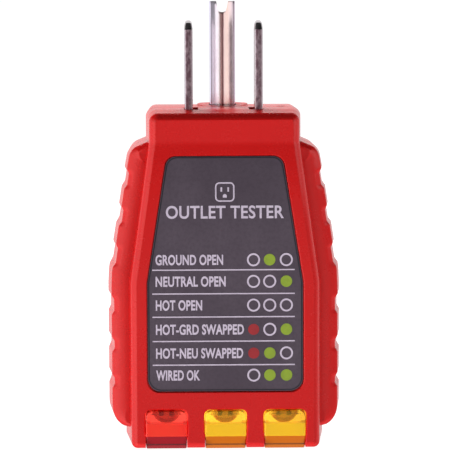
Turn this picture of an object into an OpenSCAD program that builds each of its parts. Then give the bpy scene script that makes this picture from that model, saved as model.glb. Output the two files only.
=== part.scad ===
// Three-lamp receptacle tester that plugs straight into a grounded outlet.
// Millimetres. +Z runs along the prongs, towards the outlet. The chart faces -Y,
// so -X is its left. The origin is on the plug face, midway between the flat blades.

/* [Prongs] */
// Distance between the two flat blades, centre to centre
blade_pitch = 12.7; // [12.5:0.1:12.9]
// Thickness of a flat blade
blade_t = 1.5; // [1.4:0.05:1.6]
// Width of a flat blade, front to back
blade_w = 6.35; // [6:0.05:6.6]
// Length of a flat blade beyond the plug face
blade_len = 16.0; // [15:0.1:18]
// Distance from the blades' plane back to the ground pin's axis
pin_offset = 11.9; // [11.7:0.1:12.1]
// Width of the folded ground pin
pin_d = 4.75; // [4.6:0.05:4.9]
// Sheet thickness of the folded ground pin
pin_wall = 0.85; // [0.7:0.05:1]
// Length of the ground pin beyond the plug face
pin_len = 19.4; // [19:0.1:22]

/* [Case] */
// Half the width of the neck behind the plug face
neck_half = 14; // [13.6:0.1:14.4]
// Length of the straight neck
neck_len = 5.8; // [5:0.1:6.5]
// Half the width of the chart side below the taper
core_half = 17.9; // [17.2:0.1:18.2]
// Half the width across the grip wings at their widest
wing_half = 21.15; // [20:0.05:21.8]
// Half the width across the grip wings just below the shoulders
wing_top_half = 17.75; // [17.2:0.05:18.2]
// Where the taper ends, below the plug face
taper_end = 30.9; // [29:0.1:32]
// Length of the case
body_len = 61; // [60.5:0.1:62]
// Where the grip wings end, below the plug face
wing_end = 57.8; // [57:0.1:58.5]
// Depth from the blades' plane to the flat rear face
rear_y = 18; // [17.5:0.1:19]
// Depth from the blades' plane to the front face
front_y = 9.6; // [9.4:0.1:9.8]
// Front of the neck, from the blades' plane
neck_front_y = 8.3; // [8:0.1:8.6]
// Front of the grip wings, from the blades' plane
wing_front_y = 5.2; // [4.8:0.1:5.6]
// Where the two case halves meet, behind the blades' plane
part_y = 4.4; // [4.2:0.1:4.8]
// Wall thickness of the case
wall = 2; // [1.8:0.1:2.2]
// Thickness of the plug face
face_t = 2.5; // [2.3:0.1:2.8]
// Radius of the edge round the front face
front_r = 1.4; // [1:0.1:1.5]
// Radius of the edge round the rear face
rear_r = 1.4; // [1:0.1:1.5]
// Radius of the wings' front edge
wing_r = 2.6; // [2:0.1:2.9]

/* [Grip] */
// Depth of each finger notch
notch_d = 0.45; // [0.3:0.05:0.6]

/* [Chart] */
// Depth of the recess that holds the chart plate
recess_d = 0.5; // [0.4:0.05:0.6]
// Thickness of the chart plate
plate_t = 0.35; // [0.25:0.05:0.4]
// Half the width of the recess below the taper
plate_half = 14; // [13.5:0.1:14.3]

/* [Lamps] */
// Distance between neighbouring lamps
lamp_pitch = 10.7; // [10.6:0.1:10.8]
// Width of a lens
lens_w = 7.4; // [7.2:0.1:7.6]
// Top edge of the lenses, below the plug face
lens_top = 54.1; // [53.8:0.1:54.4]
// Radius of a neon lamp's glass
glass_r = 2.7; // [2.5:0.1:2.8]

/* [Inside] */
// Half the width of the circuit board
board_half = 9.8; // [9.6:0.1:10]
// Thickness of the circuit board
board_t = 1.6; // [1.5:0.1:1.7]
// Radius of a case screw's thread
screw_r = 1.3; // [1.2:0.05:1.4]

/* [Hidden] */

CASE_RED = [0.78, 0.10, 0.10];
PLATE_GREY = [0.27, 0.23, 0.27];
NICKEL = [0.78, 0.76, 0.76];
LENS_RED = [0.9, 0.1, 0.1, 0.75];
LENS_AMBER = [1, 0.7, 0.1, 0.75];

reach = 30;               // half-width of solids that span the whole case
below = -70;              // a height clear below the case
taper_steps = 8;
edge_steps = 5;           // steps in each rounded edge of the case

blade_x = blade_pitch / 2;
pin_r = pin_d / 2;
gap = 0.08;               // gap between the prongs' shoulders and the pieces round them
shoulder_h = 2.5;         // height of the prongs' shoulders under the plug face
shoulder_z = -face_t - shoulder_h;
tail_end = -13.5;         // lower end of the soldering tails

screw_z = [-20, -40];     // heights of the case screws
screw_x = 13;
counterbore_depth = 5.2;
counterbore_r = 2.15;

board_y = 6.2;            // front surface of the circuit board
board_back = board_y + board_t;
board_top = -17;
board_bottom = -49;
board_screw_z = [-19.5, -46.5];

lamp_z = -45.5;           // mouth of the lamps' glass
lamp_y = -3.6;            // lamps' axis
glass_len = 9;            // straight part of the glass
glass_wall = 0.5;

lead_end = board_back + 0.7;          // where leads stop behind the board
resistor_x = [-7, 0, 7];
resistor_lead_z = [-23.5, -34.5];
resistor_lead_r = 0.3;
lamp_lead_x = 7.2;                    // middle of an outer lamp's leads, at the board
lamp_lead_z = lamp_z + 3.5;
lamp_lead_r = 0.25;
lamp_lead_half = 1.25;                // half the distance between a lamp's board holes
wire_x = [-7.6, 3.6, 7.6];            // neutral, ground, hot
wire_z = -19.5;
wire_top = -14.5;
wire_core_r = 0.45;

// Every lead through the board: [x, z, lead radius]
lead_holes = concat(
    [for (x = resistor_x) for (z = resistor_lead_z) [x, z, resistor_lead_r]],
    [for (i = [-1:1]) for (side = [-1, 1])
        [i * lamp_lead_x + side * lamp_lead_half, lamp_lead_z, lamp_lead_r]],
    [for (x = wire_x) [x, wire_z, wire_core_r]]);

// ---------- outlines ----------
// A half outline is a list of [x, z] from the top centre down the +X side; z never rises.
function arc(x, z, r, from, to, steps) =
    [for (i = [0:steps]) let (a = from + (to - from) * i / steps) [x + r * cos(a), z + r * sin(a)]];
function taper_z(i) = -neck_len - (taper_end - neck_len) * i / taper_steps;

// Chart side of the case, moved inwards by depth. Its corner radii shrink with it,
// and the deeper outlines have fewer points.
function core_outline(depth = 0) =
    let (top_r = max(1.6 - depth, 0.3),
        bottom_r = max(1.8 - depth, 0.3),
        arc_steps = depth > 1 ? 2 : 6,
        stride = depth > 1 ? taper_steps : 1)
    concat(
        arc(neck_half - depth - top_r, -depth - top_r, top_r, 90, 0, arc_steps),
        [for (i = [0:stride:taper_steps])
            [neck_half - depth + (core_half - neck_half) * i / taper_steps, taper_z(i)]],
        arc(core_half - depth - bottom_r, -body_len + depth + bottom_r, bottom_r,
            0, -90, arc_steps));

// Grip wings: rounded shoulder, widest below the taper, rounded lower corner
function wing_outline() =
    let (shoulder_r = 3, corner_r = 3.2)
    concat(
        [[12, -neck_len + 0.84]],
        arc(wing_top_half - shoulder_r, -neck_len - 3.57, shoulder_r, 66, 5, 8),
        [[wing_half - 0.12, -taper_end + 1.4], [wing_half, -taper_end - 1.2]],
        arc(wing_half - corner_r, -wing_end + corner_r, corner_r, 0, -75, 8),
        [[core_half - 1.5, -wing_end - 0.2]]);

function plate_outline(grow = 0) =
    let (top_half = 10.3 + grow, half = plate_half + grow, top = -8.2 + grow,
        bottom = -50.6 - grow, top_r = 2, bottom_r = 2.3)
    concat(
        arc(top_half - top_r, top - top_r, top_r, 90, 8, 6),
        [[half, -taper_end]],
        arc(half - bottom_r, bottom + bottom_r, bottom_r, 0, -90, 6));

function unit(v) = v / norm(v);
function turn(v) = [-v[1], v[0]];
function reverse(list) = [for (i = [len(list) - 1:-1:0]) list[i]];

// Mitred outward direction at point i; the two ends meet their mirror image.
function out_dir(half, i) =
    let (before = i == 0 ? [0, 1] : unit(turn(half[i] - half[i - 1])),
        after = i == len(half) - 1 ? [0, -1] : unit(turn(half[i + 1] - half[i])))
    (before + after) / (1 + before * after);
function inset(half, depth) =
    [for (i = [0:len(half) - 1]) half[i] - depth * out_dir(half, i)];
function closed(half) = concat(half, [for (p = reverse(half)) [-p[0], p[1]]]);

// Front surface of the chart side: upright neck, then a hollow sweep forward that ends upright.
function sweep_y(i) = -front_y + (front_y - neck_front_y) * pow(1 - i / taper_steps, 2);
// [z, y] from below the case up to above it
lean_table = concat(
    [[-100, -front_y]],
    [for (i = [taper_steps:-1:0]) [taper_z(i), sweep_y(i)]],
    [[10, -neck_front_y]]);
function lean(z) = lookup(z, lean_table);
// The sweep as [y, z] points from the neck down, moved back by depth
function lean_line(depth) = [for (i = [0:taper_steps]) [sweep_y(i) + depth, taper_z(i)]];

// ---------- building blocks ----------
module block(x0, x1, y0, y1, z0, z1) {
    translate([x0, y0, z0]) cube([x1 - x0, y1 - y0, z1 - z0]);
}
// A block centred on x = 0
module mid_block(half, y0, y1, z0, z1) {
    block(-half, half, y0, y1, z0, z1);
}
module rod_y(x, z, y0, y1, r) {
    translate([x, y1, z]) rotate([90, 0, 0]) cylinder(h = y1 - y0, r = r, $fn = 48);
}
module rod_z(x, y, z0, z1, r) {
    translate([x, y, z0]) cylinder(h = z1 - z0, r = r, $fn = 48);
}
// [x, z] points extruded from y0 to y1
module slab_y(points, y0, y1) {
    translate([0, y1, 0]) rotate([90, 0, 0])
        linear_extrude(height = y1 - y0) polygon(points);
}
// A flat shape drawn in [y, z], extruded from x0 to x1
module along_x(x0, x1) {
    translate([x0, 0, 0]) rotate([90, 0, 90]) linear_extrude(height = x1 - x0) children();
}
module both_sides() {
    for (side = [-1, 1]) scale([side, 1, 1]) children();
}
module at_lamp(i) {
    translate([i * lamp_pitch, 0, 0]) children();
}
module case_screw_rods(y0, y1, r) {
    for (side = [-1, 1]) for (z = screw_z) rod_y(side * screw_x, z, y0, y1, r);
}
module board_screw_rods(y0, y1, r) {
    for (z = board_screw_z) rod_y(0, z, y0, y1, r);
}
// A round wire through a list of points, with ball-shaped bends
module wire(points, r) {
    for (i = [0:len(points) - 2]) {
        run = points[i + 1] - points[i];
        length = norm(run);
        translate(points[i])
            rotate([0, acos(run[2] / length), atan2(run[1], run[0])])
            cylinder(h = length, r = r, $fn = 24);
    }
    for (i = [1:1:len(points) - 2])
        translate(points[i]) sphere(r = r * 1.02, $fn = 24);
}

// ---------- case ----------
function flipped(faces) = [for (f = faces) [f[2], f[1], f[0]]];

// Solid from the parting plane to end_y, with a quarter-round edge at its end.
// inward is the Y direction back into the solid: 1 for the front half, -1 for the rear.
// With follow = 1, end_y is measured from the leaning front surface.
module case_half(outline, end_y, radius, inward, follow = 0) {
    half_count = len(outline);
    count = 2 * half_count;
    // Rings: [follow, y, inset]
    layers = concat([[0, part_y, 0]], [for (i = [0:edge_steps])
        let (a = 90 * i / edge_steps)
        [follow, end_y + inward * radius * (1 - sin(a)), radius * (1 - cos(a))]]);
    points = [for (layer = layers) for (p = closed(inset(outline, layer[2])))
        [p[0], layer[1] + layer[0] * lean(p[1]), p[1]]];
    sides = [for (j = [0:len(layers) - 2]) for (i = [0:count - 1])
        let (a = j * count + i, b = j * count + (i + 1) % count)
        each [[a, b, a + count], [b, b + count, a + count]]];
    // Caps are strips across the outline, from each point to its mirror image.
    first_cap = [for (i = [0:half_count - 2])
        let (opposite = count - 1 - i)
        each [[i, opposite, i + 1], [opposite, opposite - 1, i + 1]]];
    last = (len(layers) - 1) * count;
    last_cap = flipped([for (f = first_cap) f + [last, last, last]]);
    faces = concat(sides, first_cap, last_cap);
    polyhedron(points = points, faces = inward > 0 ? faces : flipped(faces), convexity = 8);
}

// Both case outlines moved inwards and cut off at the given top
module inner_fill(depth, top, y0, y1, wing_y0) {
    intersection() {
        union() {
            slab_y(closed(core_outline(depth)), y0, y1);
            slab_y(closed(inset(wing_outline(), depth)), wing_y0, y1);
        }
        mid_block(reach, y0 - 1, y1 + 1, -body_len, top);
    }
}
module cavity(y0, y1) {
    inner_fill(wall, -face_t, y0, y1, max(y0, -wing_front_y + wall));
}
// A band between two depths inside the case outlines
module lip(y0, y1, outer_depth, inner_depth) {
    difference() {
        inner_fill(outer_depth, -outer_depth, y0, y1, y0);
        inner_fill(inner_depth, -inner_depth, y0 - 1, y1 + 1, y0 - 1);
    }
}

// Upper and lower edge heights of the finger notches
notches = [[-11.1, -14], [-17.8, -20.7], [-24.7, -28.2],
    [-34, -36.9], [-41.6, -43.8], [-48.9, -50.7]];
// Half the width of the wings at height z
function side_x(z) =
    lookup(z, [[-wing_end, wing_half], [-taper_end, wing_half], [-neck_len - 3, wing_top_half]]);
module notch_cuts(y0, y1) {
    out = 0.6;            // how far the cut starts outside the wing
    both_sides() for (edges = notches) {
        upper = edges[0];
        lower = edges[1];
        slab_y([[side_x(upper) + out, upper + 1.1],
            [side_x(upper) - notch_d, upper - 0.7],
            [side_x(lower) - notch_d, lower + 0.7],
            [side_x(lower) + out, lower - 1.1]], y0, y1);
    }
}

// Opening for one lens, from the front face round the bottom end
module lens_slot() {
    half = lens_w / 2 + 0.2;
    back = 2.2;
    intersection() {
        slab_y(closed([[half - 1.2, -lens_top + 0.2], [half - 0.35, -lens_top - 0.15],
            [half, -lens_top - 1], [half, -body_len - 1]]), -front_y - 1, back);
        union() {
            mid_block(6, -front_y - 1, -front_y + wall + 0.2, -body_len - 1, -lens_top + 1);
            mid_block(6, -front_y - 1, back, -body_len - 1, -body_len + wall + 0.2);
        }
    }
}
// Recess for the chart plate, with a floor that follows the leaning front
module plate_recess() {
    difference() {
        slab_y(closed(plate_outline(0.12)), -front_y - 1, 0);
        along_x(-reach, reach) polygon(concat(
            [[1, 5], [-neck_front_y + recess_d, 5]],
            lean_line(recess_d),
            [[-front_y + recess_d, below], [1, below]]));
    }
}

module front_shell() {
    color(CASE_RED) difference() {
        union() {
            difference() {
                union() {
                    case_half(core_outline(), 0, front_r, inward = 1, follow = 1);
                    case_half(wing_outline(), -wing_front_y, wing_r, inward = 1);
                }
                cavity(-neck_front_y + wall, part_y + 1);
                // Deeper pocket below the taper
                mid_block(15.3, -front_y + wall, 0, -body_len + wall, -taper_end - 0.6);
            }
            // Posts that take the case screws
            case_screw_rods(-neck_front_y + 0.5, part_y, 2.4);
        }
        notch_cuts(-30, part_y + 1);
        plate_recess();
        // Blade openings, wider than the blades on their inner side
        both_sides() block(blade_x - blade_t / 2 - 0.9, blade_x + blade_t / 2 + 0.1,
            -blade_w / 2 - 0.6, blade_w / 2 + 0.6, -face_t - 1, 1);
        for (i = [-1:1]) at_lamp(i) lens_slot();
        case_screw_rods(-1.5, part_y + 1, screw_r - 0.2);
        // Rebate for the rear half's locating lip
        lip(part_y - 1.3, part_y + 1, wall - 0.9, wall + 0.5);
    }
}

module rear_shell() {
    opening_r = pin_r + 0.1;
    color(CASE_RED) difference() {
        union() {
            difference() {
                union() {
                    case_half(core_outline(), rear_y, rear_r, inward = -1);
                    case_half(wing_outline(), rear_y, rear_r, inward = -1);
                }
                cavity(part_y - 1, rear_y - wall);
            }
            // Locating lip
            lip(part_y - 1.2, part_y + 1, wall - 0.8, wall + 0.3);
            // Ring round the ground pin on the plug face
            rod_z(0, pin_offset, -face_t, 0.45, 4.7);
            // Posts for the case screws and for the board
            case_screw_rods(part_y, rear_y - 1, 2.9);
            board_screw_rods(board_back, rear_y - 1, 2.2);
        }
        notch_cuts(part_y - 2, 30);
        // Ground pin's opening, squared off towards the front
        rod_z(0, pin_offset, -face_t - 1, 1, opening_r);
        mid_block(opening_r, pin_offset - opening_r, pin_offset, -face_t - 1, 1);
        // Screw holes with counterbores
        case_screw_rods(part_y - 2, rear_y + 1, screw_r + 0.15);
        case_screw_rods(rear_y - counterbore_depth, rear_y + 1, counterbore_r);
        board_screw_rods(board_y, rear_y - 4, 0.8);
        // Shallow round pit left by the moulding ejector
        rod_z(10.8, 7.5, -0.25, 1, 0.9);
    }
}

// ---------- chart plate ----------
module label_plate() {
    back = recess_d;
    front = recess_d - plate_t;
    color(PLATE_GREY) intersection() {
        slab_y(closed(plate_outline()), -front_y - 1, 0);
        along_x(-reach, reach) polygon(concat(
            lean_line(back),
            [[-front_y + back, below], [-front_y + front, below]],
            reverse(lean_line(front))));
    }
}

// ---------- lenses ----------
module lens() {
    half = lens_w / 2;
    window_half = half - 1.1;
    window_top = -lens_top - 0.8;
    thick = 1.3;
    front = -front_y - 0.25;      // a little proud of the case
    bottom = -body_len - 0.3;     // a little proud too
    case_inside = -front_y + wall;
    flange_bottom = -body_len + wall + 0.3;
    union() {
        intersection() {
            union() {
                // Wall that wraps from the front face round the bottom end
                along_x(-half, half) difference() {
                    polygon([[front, -lens_top], [front + 0.001, -58.7],
                        [front + 1.6, -60.5], [front + 3, bottom],
                        [2, bottom], [2, bottom + thick],
                        [front + thick + 0.4, bottom + thick],
                        [front + thick + 0.2, -lens_top]]);
                    polygon([[front + thick, -lens_top + 1], [front + thick, -58.5],
                        [front + thick + 0.9, bottom + thick],
                        [3, bottom + thick], [3, -lens_top + 1]]);
                }
                // Neck of the inner flange
                difference() {
                    mid_block(half, front + thick - 0.2, case_inside + 0.6,
                        flange_bottom, -lens_top);
                    mid_block(window_half, -20, 0, below, window_top);
                }
            }
            // Front view, with rounded top corners
            slab_y(closed([[half - 1.1, -lens_top], [half - 0.32, -lens_top - 0.32],
                [half, -lens_top - 1.1], [half, -57], [half - 0.3, bottom - 1]]), -20, 3);
        }
        // Inner flange that holds it behind the front wall
        difference() {
            mid_block(half + 0.8, case_inside + 0.3, case_inside + 1.1,
                flange_bottom, -lens_top + 0.9);
            mid_block(window_half, -front_y, 0, below, window_top);
        }
    }
}
module lens_red() { color(LENS_RED) at_lamp(-1) lens(); }
module lens_amber_centre() { color(LENS_AMBER) at_lamp(0) lens(); }
module lens_amber_right() { color(LENS_AMBER) at_lamp(1) lens(); }

// ---------- prongs ----------
// Flat blade with bevelled tip, a shoulder under the plug face and a soldering tail
module blade() {
    half_t = blade_t / 2;
    half_w = blade_w / 2;
    difference() {
        union() {
            along_x(-half_t, half_t) polygon([[-half_w, -face_t], [half_w, -face_t],
                [half_w, blade_len - 1.6], [half_w - 1, blade_len],
                [-half_w + 1, blade_len], [-half_w, blade_len - 1.6]]);
            mid_block(half_t, -half_w - 1, half_w + 1, shoulder_z, -face_t - gap);
            // Joins the shoulder to the blade
            mid_block(half_t, -half_w, half_w, -face_t - 0.5, -face_t + 0.5);
            mid_block(0.4, -1.6, 1.6, tail_end, shoulder_z + 0.5);
        }
        // The faces thin down to the tip
        both_sides() slab_y([[half_t, blade_len - 1.4], [half_t - 0.32, blade_len + 0.01],
            [blade_t, blade_len + 1], [blade_t, blade_len - 1.4]], -10, 10);
        // Hole through the tail
        translate([-5, 0, -12]) rotate([0, 90, 0]) cylinder(h = 10, r = 0.75, $fn = 32);
    }
}
module hot_blade() { color(NICKEL) translate([blade_x, 0, 0]) blade(); }
module neutral_blade() { color(NICKEL) translate([-blade_x, 0, 0]) blade(); }

// Section of the ground pin: round at the rear, open towards the front
module pin_section(inner_r) {
    crease = 0.62;        // sideways shift of the two inner arcs
    difference() {
        intersection() {
            union() {
                circle(r = pin_r, $fn = 64);
                translate([-pin_r, -pin_r]) square([pin_d, pin_r]);
            }
            circle(r = pin_r * 1.13, $fn = 64);
        }
        // Folded inside, closing to a crease at the rear
        intersection() {
            translate([crease, -0.2]) circle(r = inner_r + crease, $fn = 64);
            translate([-crease, -0.2]) circle(r = inner_r + crease, $fn = 64);
        }
        translate([-inner_r, -pin_d]) square([2 * inner_r, pin_d - 0.2]);
    }
}
module ground_pin() {
    inner_r = pin_r - pin_wall;
    color(NICKEL) translate([0, pin_offset, 0]) {
        difference() {
            translate([0, 0, shoulder_z]) linear_extrude(height = pin_len - shoulder_z)
                pin_section(inner_r);
            // The nose slopes down to the rear
            along_x(-10, 10) polygon([[-pin_r - 1, pin_len + 0.35], [-0.9, pin_len - 0.05],
                [0.6, pin_len - 0.8], [pin_r - 0.6, pin_len - 2.6],
                [pin_r + 0.2, pin_len - 4.4], [pin_r + 2, pin_len - 4.4],
                [pin_r + 2, pin_len + 4], [-pin_r - 1, pin_len + 4]]);
        }
        // Collar under the plug face
        difference() {
            rod_z(0, 0, shoulder_z, -face_t - gap, pin_r + 0.9);
            mid_block(inner_r, -pin_d, 0, shoulder_z - shoulder_h, 0);
        }
        // Soldering tail
        mid_block(1.6, 0.9, 1.7, tail_end, -face_t - 0.3);
    }
}

// Insulating block that locks the prongs' shoulders under the plug face
module blade_retainer() {
    top = shoulder_z - gap;
    cut_bottom = top - 3;
    color([0.85, 0.83, 0.78]) difference() {
        mid_block(11.7, -5.6, 15.6, top - 2.4, top);
        // Slots for the three tails
        both_sides() block(blade_x - 0.6, blade_x + 0.6, -1.9, 1.9, cut_bottom, top + 1);
        mid_block(1.9, pin_offset + 0.6, pin_offset + 2, cut_bottom, top + 1);
        // Two round holes
        for (side = [-1, 1]) rod_z(side * 9.8, 10.5, cut_bottom, top + 1, 0.9);
    }
}

// ---------- lamps ----------
// Opaque tray: one cell behind each lens, so that one lamp can't light its neighbour's lens
module lamp_divider() {
    color([0.93, 0.92, 0.88]) difference() {
        mid_block(15.2, -6.9, 1.9, -58.3, -46.5);
        for (i = [-1:1]) at_lamp(i) {
            mid_block(4.7, -8, 0.9, -59, -52.4);
            mid_block(3.4, -8, 0.9, -59, -47.4);
            // Way in for the lamp
            rod_z(0, lamp_y, -48, -46, glass_r + 0.15);
        }
    }
}

// Glass tube, open at the top, with a round lower end
module neon_glass(i) {
    inner_r = glass_r - glass_wall;
    color([0.95, 0.95, 0.95, 0.35]) at_lamp(i)
        translate([0, lamp_y, lamp_z - glass_len]) difference() {
            union() {
                cylinder(h = glass_len, r = glass_r, $fn = 48);
                sphere(r = glass_r, $fn = 48);
            }
            cylinder(h = glass_len + 1, r = inner_r, $fn = 48);
            sphere(r = inner_r, $fn = 48);
        }
}
module neon_glass_left() { neon_glass(-1); }
module neon_glass_centre() { neon_glass(0); }
module neon_glass_right() { neon_glass(1); }

// Disc in the glass's mouth, two rods below it and two leads up and back to the board
module neon_electrodes(i) {
    color([0.7, 0.68, 0.66]) union() {
        rod_z(i * lamp_pitch, lamp_y, lamp_z - 1.8, lamp_z - 0.1, glass_r - glass_wall - 0.03);
        for (side = [-1, 1]) {
            x = i * lamp_pitch + side * 0.95;
            hole_x = i * lamp_lead_x + side * lamp_lead_half;
            rod_z(x, lamp_y, lamp_z - 10.4, lamp_z - 1.7, 0.45);
            wire([[x, lamp_y, lamp_z - 1], [x, lamp_y, lamp_z + 1.8],
                [hole_x, lamp_y + 2, lamp_lead_z], [hole_x, lead_end, lamp_lead_z]], lamp_lead_r);
        }
    }
}
module neon_electrodes_left() { neon_electrodes(-1); }
module neon_electrodes_centre() { neon_electrodes(0); }
module neon_electrodes_right() { neon_electrodes(1); }

// ---------- board ----------
module circuit_board() {
    color([0.12, 0.38, 0.2]) difference() {
        mid_block(board_half, board_y, board_back, board_bottom, board_top);
        for (hole = lead_holes)
            rod_y(hole[0], hole[1], board_y - 1, board_back + 1, hole[2] + 0.12);
        board_screw_rods(board_y - 1, board_back + 1, 1.1);
    }
}

// A cone of solder round each lead, on the back of the board
module solder_joints() {
    color([0.8, 0.8, 0.82]) for (hole = lead_holes) {
        r = hole[2];
        translate([hole[0], board_back + 0.01, hole[1]]) rotate([-90, 0, 0])
            rotate_extrude($fn = 32)
            polygon([[r + 0.02, 0], [1, 0], [r + 0.35, 0.35], [r + 0.12, 0.8], [r + 0.02, 0.8]]);
    }
}

// Upright body in front of the board, with both leads bent back through it
module resistor(x) {
    y = board_y - 1.5;
    lead_start_z = [-26, -32];
    color([0.82, 0.7, 0.5]) union() {
        // Profile: [radius, height]
        translate([x, y, -32.4]) rotate_extrude($fn = 40)
            polygon([[0, 0], [0.9, 0], [1.25, 0.35], [1.25, 1.4], [1, 1.8],
                [1, 5], [1.25, 5.4], [1.25, 6.45], [0.9, 6.8], [0, 6.8]]);
        for (i = [0, 1])
            wire([[x, y, lead_start_z[i]], [x, y, resistor_lead_z[i]],
                [x, lead_end, resistor_lead_z[i]]], resistor_lead_r);
    }
}
module resistor_left() { resistor(resistor_x[0]); }
module resistor_centre() { resistor(resistor_x[1]); }
module resistor_right() { resistor(resistor_x[2]); }

// ---------- wires ----------
// Insulated wire from below a prong's tail, with a bared end in the board at x
module lead(x, tail_x, tail_y, colour) {
    color(colour) union() {
        wire([[tail_x, tail_y, wire_top], [tail_x, tail_y, wire_top - 1.6],
            [x, board_y - 3.4, wire_z], [x, board_y - 0.3, wire_z]], 0.8);
        rod_y(x, wire_z, board_y - 0.5, lead_end, wire_core_r);
    }
}
module hot_wire() { lead(wire_x[2], blade_x, 0, [0.1, 0.1, 0.1]); }
module neutral_wire() { lead(wire_x[0], -blade_x, 0, [0.9, 0.9, 0.9]); }
module ground_wire() { lead(wire_x[1], 0, 4.6, [0.1, 0.45, 0.15]); }

// ---------- screws ----------
// Head towards +Y with its underside at y = 0, shank towards -Y, cross recess in the head
module pan_screw(length, r, head_r, head_h) {
    difference() {
        union() {
            rotate([90, 0, 0]) cylinder(h = length, r = r, $fn = 40);
            rotate([90, 0, 0]) translate([0, 0, -head_h]) rotate_extrude($fn = 48)
                polygon([[0, 0], [head_r * 0.7, 0], [head_r * 0.93, head_h * 0.3],
                    [head_r, head_h * 0.65], [head_r, head_h], [0, head_h]]);
        }
        for (a = [0, 90])
            translate([0, head_h, 0]) rotate([90, a, 0])
                translate([-head_r * 0.55, -head_r * 0.13, 0])
                cube([head_r * 1.1, head_r * 0.26, head_h * 0.7]);
    }
}
module case_screws() {
    color([0.55, 0.55, 0.57]) for (side = [-1, 1]) for (z = screw_z)
        translate([side * screw_x, rear_y - counterbore_depth + 0.02, z])
            pan_screw(length = 11, r = screw_r - 0.22, head_r = 2.0, head_h = 1.5);
}
// Their heads face the front
module board_screws() {
    color([0.75, 0.75, 0.76]) for (z = board_screw_z)
        translate([0, board_y - 0.02, z]) rotate([0, 0, 180])
            pan_screw(length = 5.5, r = 0.78, head_r = 1.8, head_h = 1.2);
}

front_shell();
rear_shell();
label_plate();
lens_red();
lens_amber_centre();
lens_amber_right();
hot_blade();
neutral_blade();
ground_pin();
blade_retainer();
circuit_board();
lamp_divider();
neon_glass_left();
neon_glass_centre();
neon_glass_right();
neon_electrodes_left();
neon_electrodes_centre();
neon_electrodes_right();
resistor_left();
resistor_centre();
resistor_right();
hot_wire();
neutral_wire();
ground_wire();
solder_joints();
board_screws();
case_screws();
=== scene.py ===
"""Plug-in outlet tester, standing on its lower end with the prongs up.

+Z runs up along the prongs, and z 0 is the plug face. -Y is the front, with the chart and
the three lamp windows; +X is to the right seen from the front. The case parts across Y into
a front and a rear half. Lengths are in millimetres, turned into metres when a mesh is made.
"""
import math
from contextlib import contextmanager

import bpy
import bmesh
import numpy as np
from mathutils import Vector, Matrix


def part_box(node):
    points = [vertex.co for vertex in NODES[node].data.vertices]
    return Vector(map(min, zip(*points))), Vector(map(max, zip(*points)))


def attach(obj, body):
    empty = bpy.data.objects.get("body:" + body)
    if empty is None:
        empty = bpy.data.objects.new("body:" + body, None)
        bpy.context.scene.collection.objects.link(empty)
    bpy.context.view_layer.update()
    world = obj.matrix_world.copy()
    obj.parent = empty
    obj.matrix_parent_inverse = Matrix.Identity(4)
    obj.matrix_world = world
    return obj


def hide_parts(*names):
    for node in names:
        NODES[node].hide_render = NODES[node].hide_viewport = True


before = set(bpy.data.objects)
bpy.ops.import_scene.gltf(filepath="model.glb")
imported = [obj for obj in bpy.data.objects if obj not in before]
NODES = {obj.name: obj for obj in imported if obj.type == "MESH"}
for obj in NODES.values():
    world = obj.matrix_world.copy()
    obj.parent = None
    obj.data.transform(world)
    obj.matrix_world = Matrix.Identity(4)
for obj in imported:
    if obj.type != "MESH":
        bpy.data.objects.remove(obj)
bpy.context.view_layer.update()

MM = 0.001
X, Y, Z = range(3)
COLLECTION = bpy.context.scene.collection


# --------------------------------------------------------------------------
# Main sizes. Those the CAD holds are read from it.
# --------------------------------------------------------------------------
def mm_box(node):
    low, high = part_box(node)
    return [v * 1000 for v in low], [v * 1000 for v in high]


front_low, front_high = mm_box("front_shell")
blade_low, blade_high = mm_box("hot_blade")
WING = front_high[X]                # half width across the wings
FRONT = -front_low[Y]               # front face, from the blades' plane
BOTTOM = front_low[Z]               # lower end of the case
PART = front_high[Y]                # where the halves meet
REAR = mm_box("rear_shell")[1][Y]
BLADE_X = 0.5 * (blade_low[X] + blade_high[X])

BLADE_TOP = 16.0
PIN_Y, PIN_TOP, PIN_RADIUS = 11.9, 19.4, 2.375
NECK, CORE = 14.2, 18.15            # half widths of the core at its top and below its taper
NECK_FRONT = 8.3                    # front of the neck, from the blades' plane
NECK_LEN, TAPER_END, WING_END = 5.8, 30.9, 57.8     # depths below the plug face
WING_TOP = 17.75                    # half width at the wings' shoulders
WING_GROW = 0.12                    # added to the wings' half widths
WING_FRONT = 5.2
SHOULDER_RADIUS = 3.0
WALL = 2.0
LAMP_PITCH, LENS_W, LENS_TOP = 10.7, 7.4, 54.1
RECESS = 0.5                        # depth of the chart's hollow
NOTCHES = [                         # upper and lower z of the finger notches
    (-11.1, -14.0), (-17.8, -20.7), (-24.7, -28.2),
    (-34.0, -36.9), (-41.6, -43.8), (-48.4, -50.3)]
NOTCH_DEPTH = 0.45
NOTCH_FLARE = 0.35                  # how far a notch's steps begin outside its z range
EDGE = 0.12                         # tiny break on the edge where the halves meet
DRAFT, TAPER_DRAFT = 0.060, 0.030   # lean of the sides, and what the taper adds to it
SCREW_Z, SCREW_X = (-20.0, -40.0), 13.0


# --------------------------------------------------------------------------
# Mesh helpers
# --------------------------------------------------------------------------
@contextmanager
def editing(mesh, sources=None):
    """Opens a mesh for editing, starting from itself or from other meshes."""
    work = bmesh.new()
    for source in [mesh] if sources is None else sources:
        work.from_mesh(source)
    yield work
    work.to_mesh(mesh)
    work.free()


def add_object(mesh, name="piece"):
    piece = bpy.data.objects.new(name, mesh)
    COLLECTION.objects.link(piece)
    return piece


def weld(work, gap, sliver):
    bmesh.ops.remove_doubles(work, verts=work.verts, dist=gap)
    bmesh.ops.dissolve_degenerate(work, edges=work.edges, dist=sliver)


def face_outwards(work):
    bmesh.ops.recalc_face_normals(work, faces=work.faces)


def tidy(piece, gap=2e-6):
    with editing(piece.data) as work:
        weld(work, gap, gap)


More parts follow.
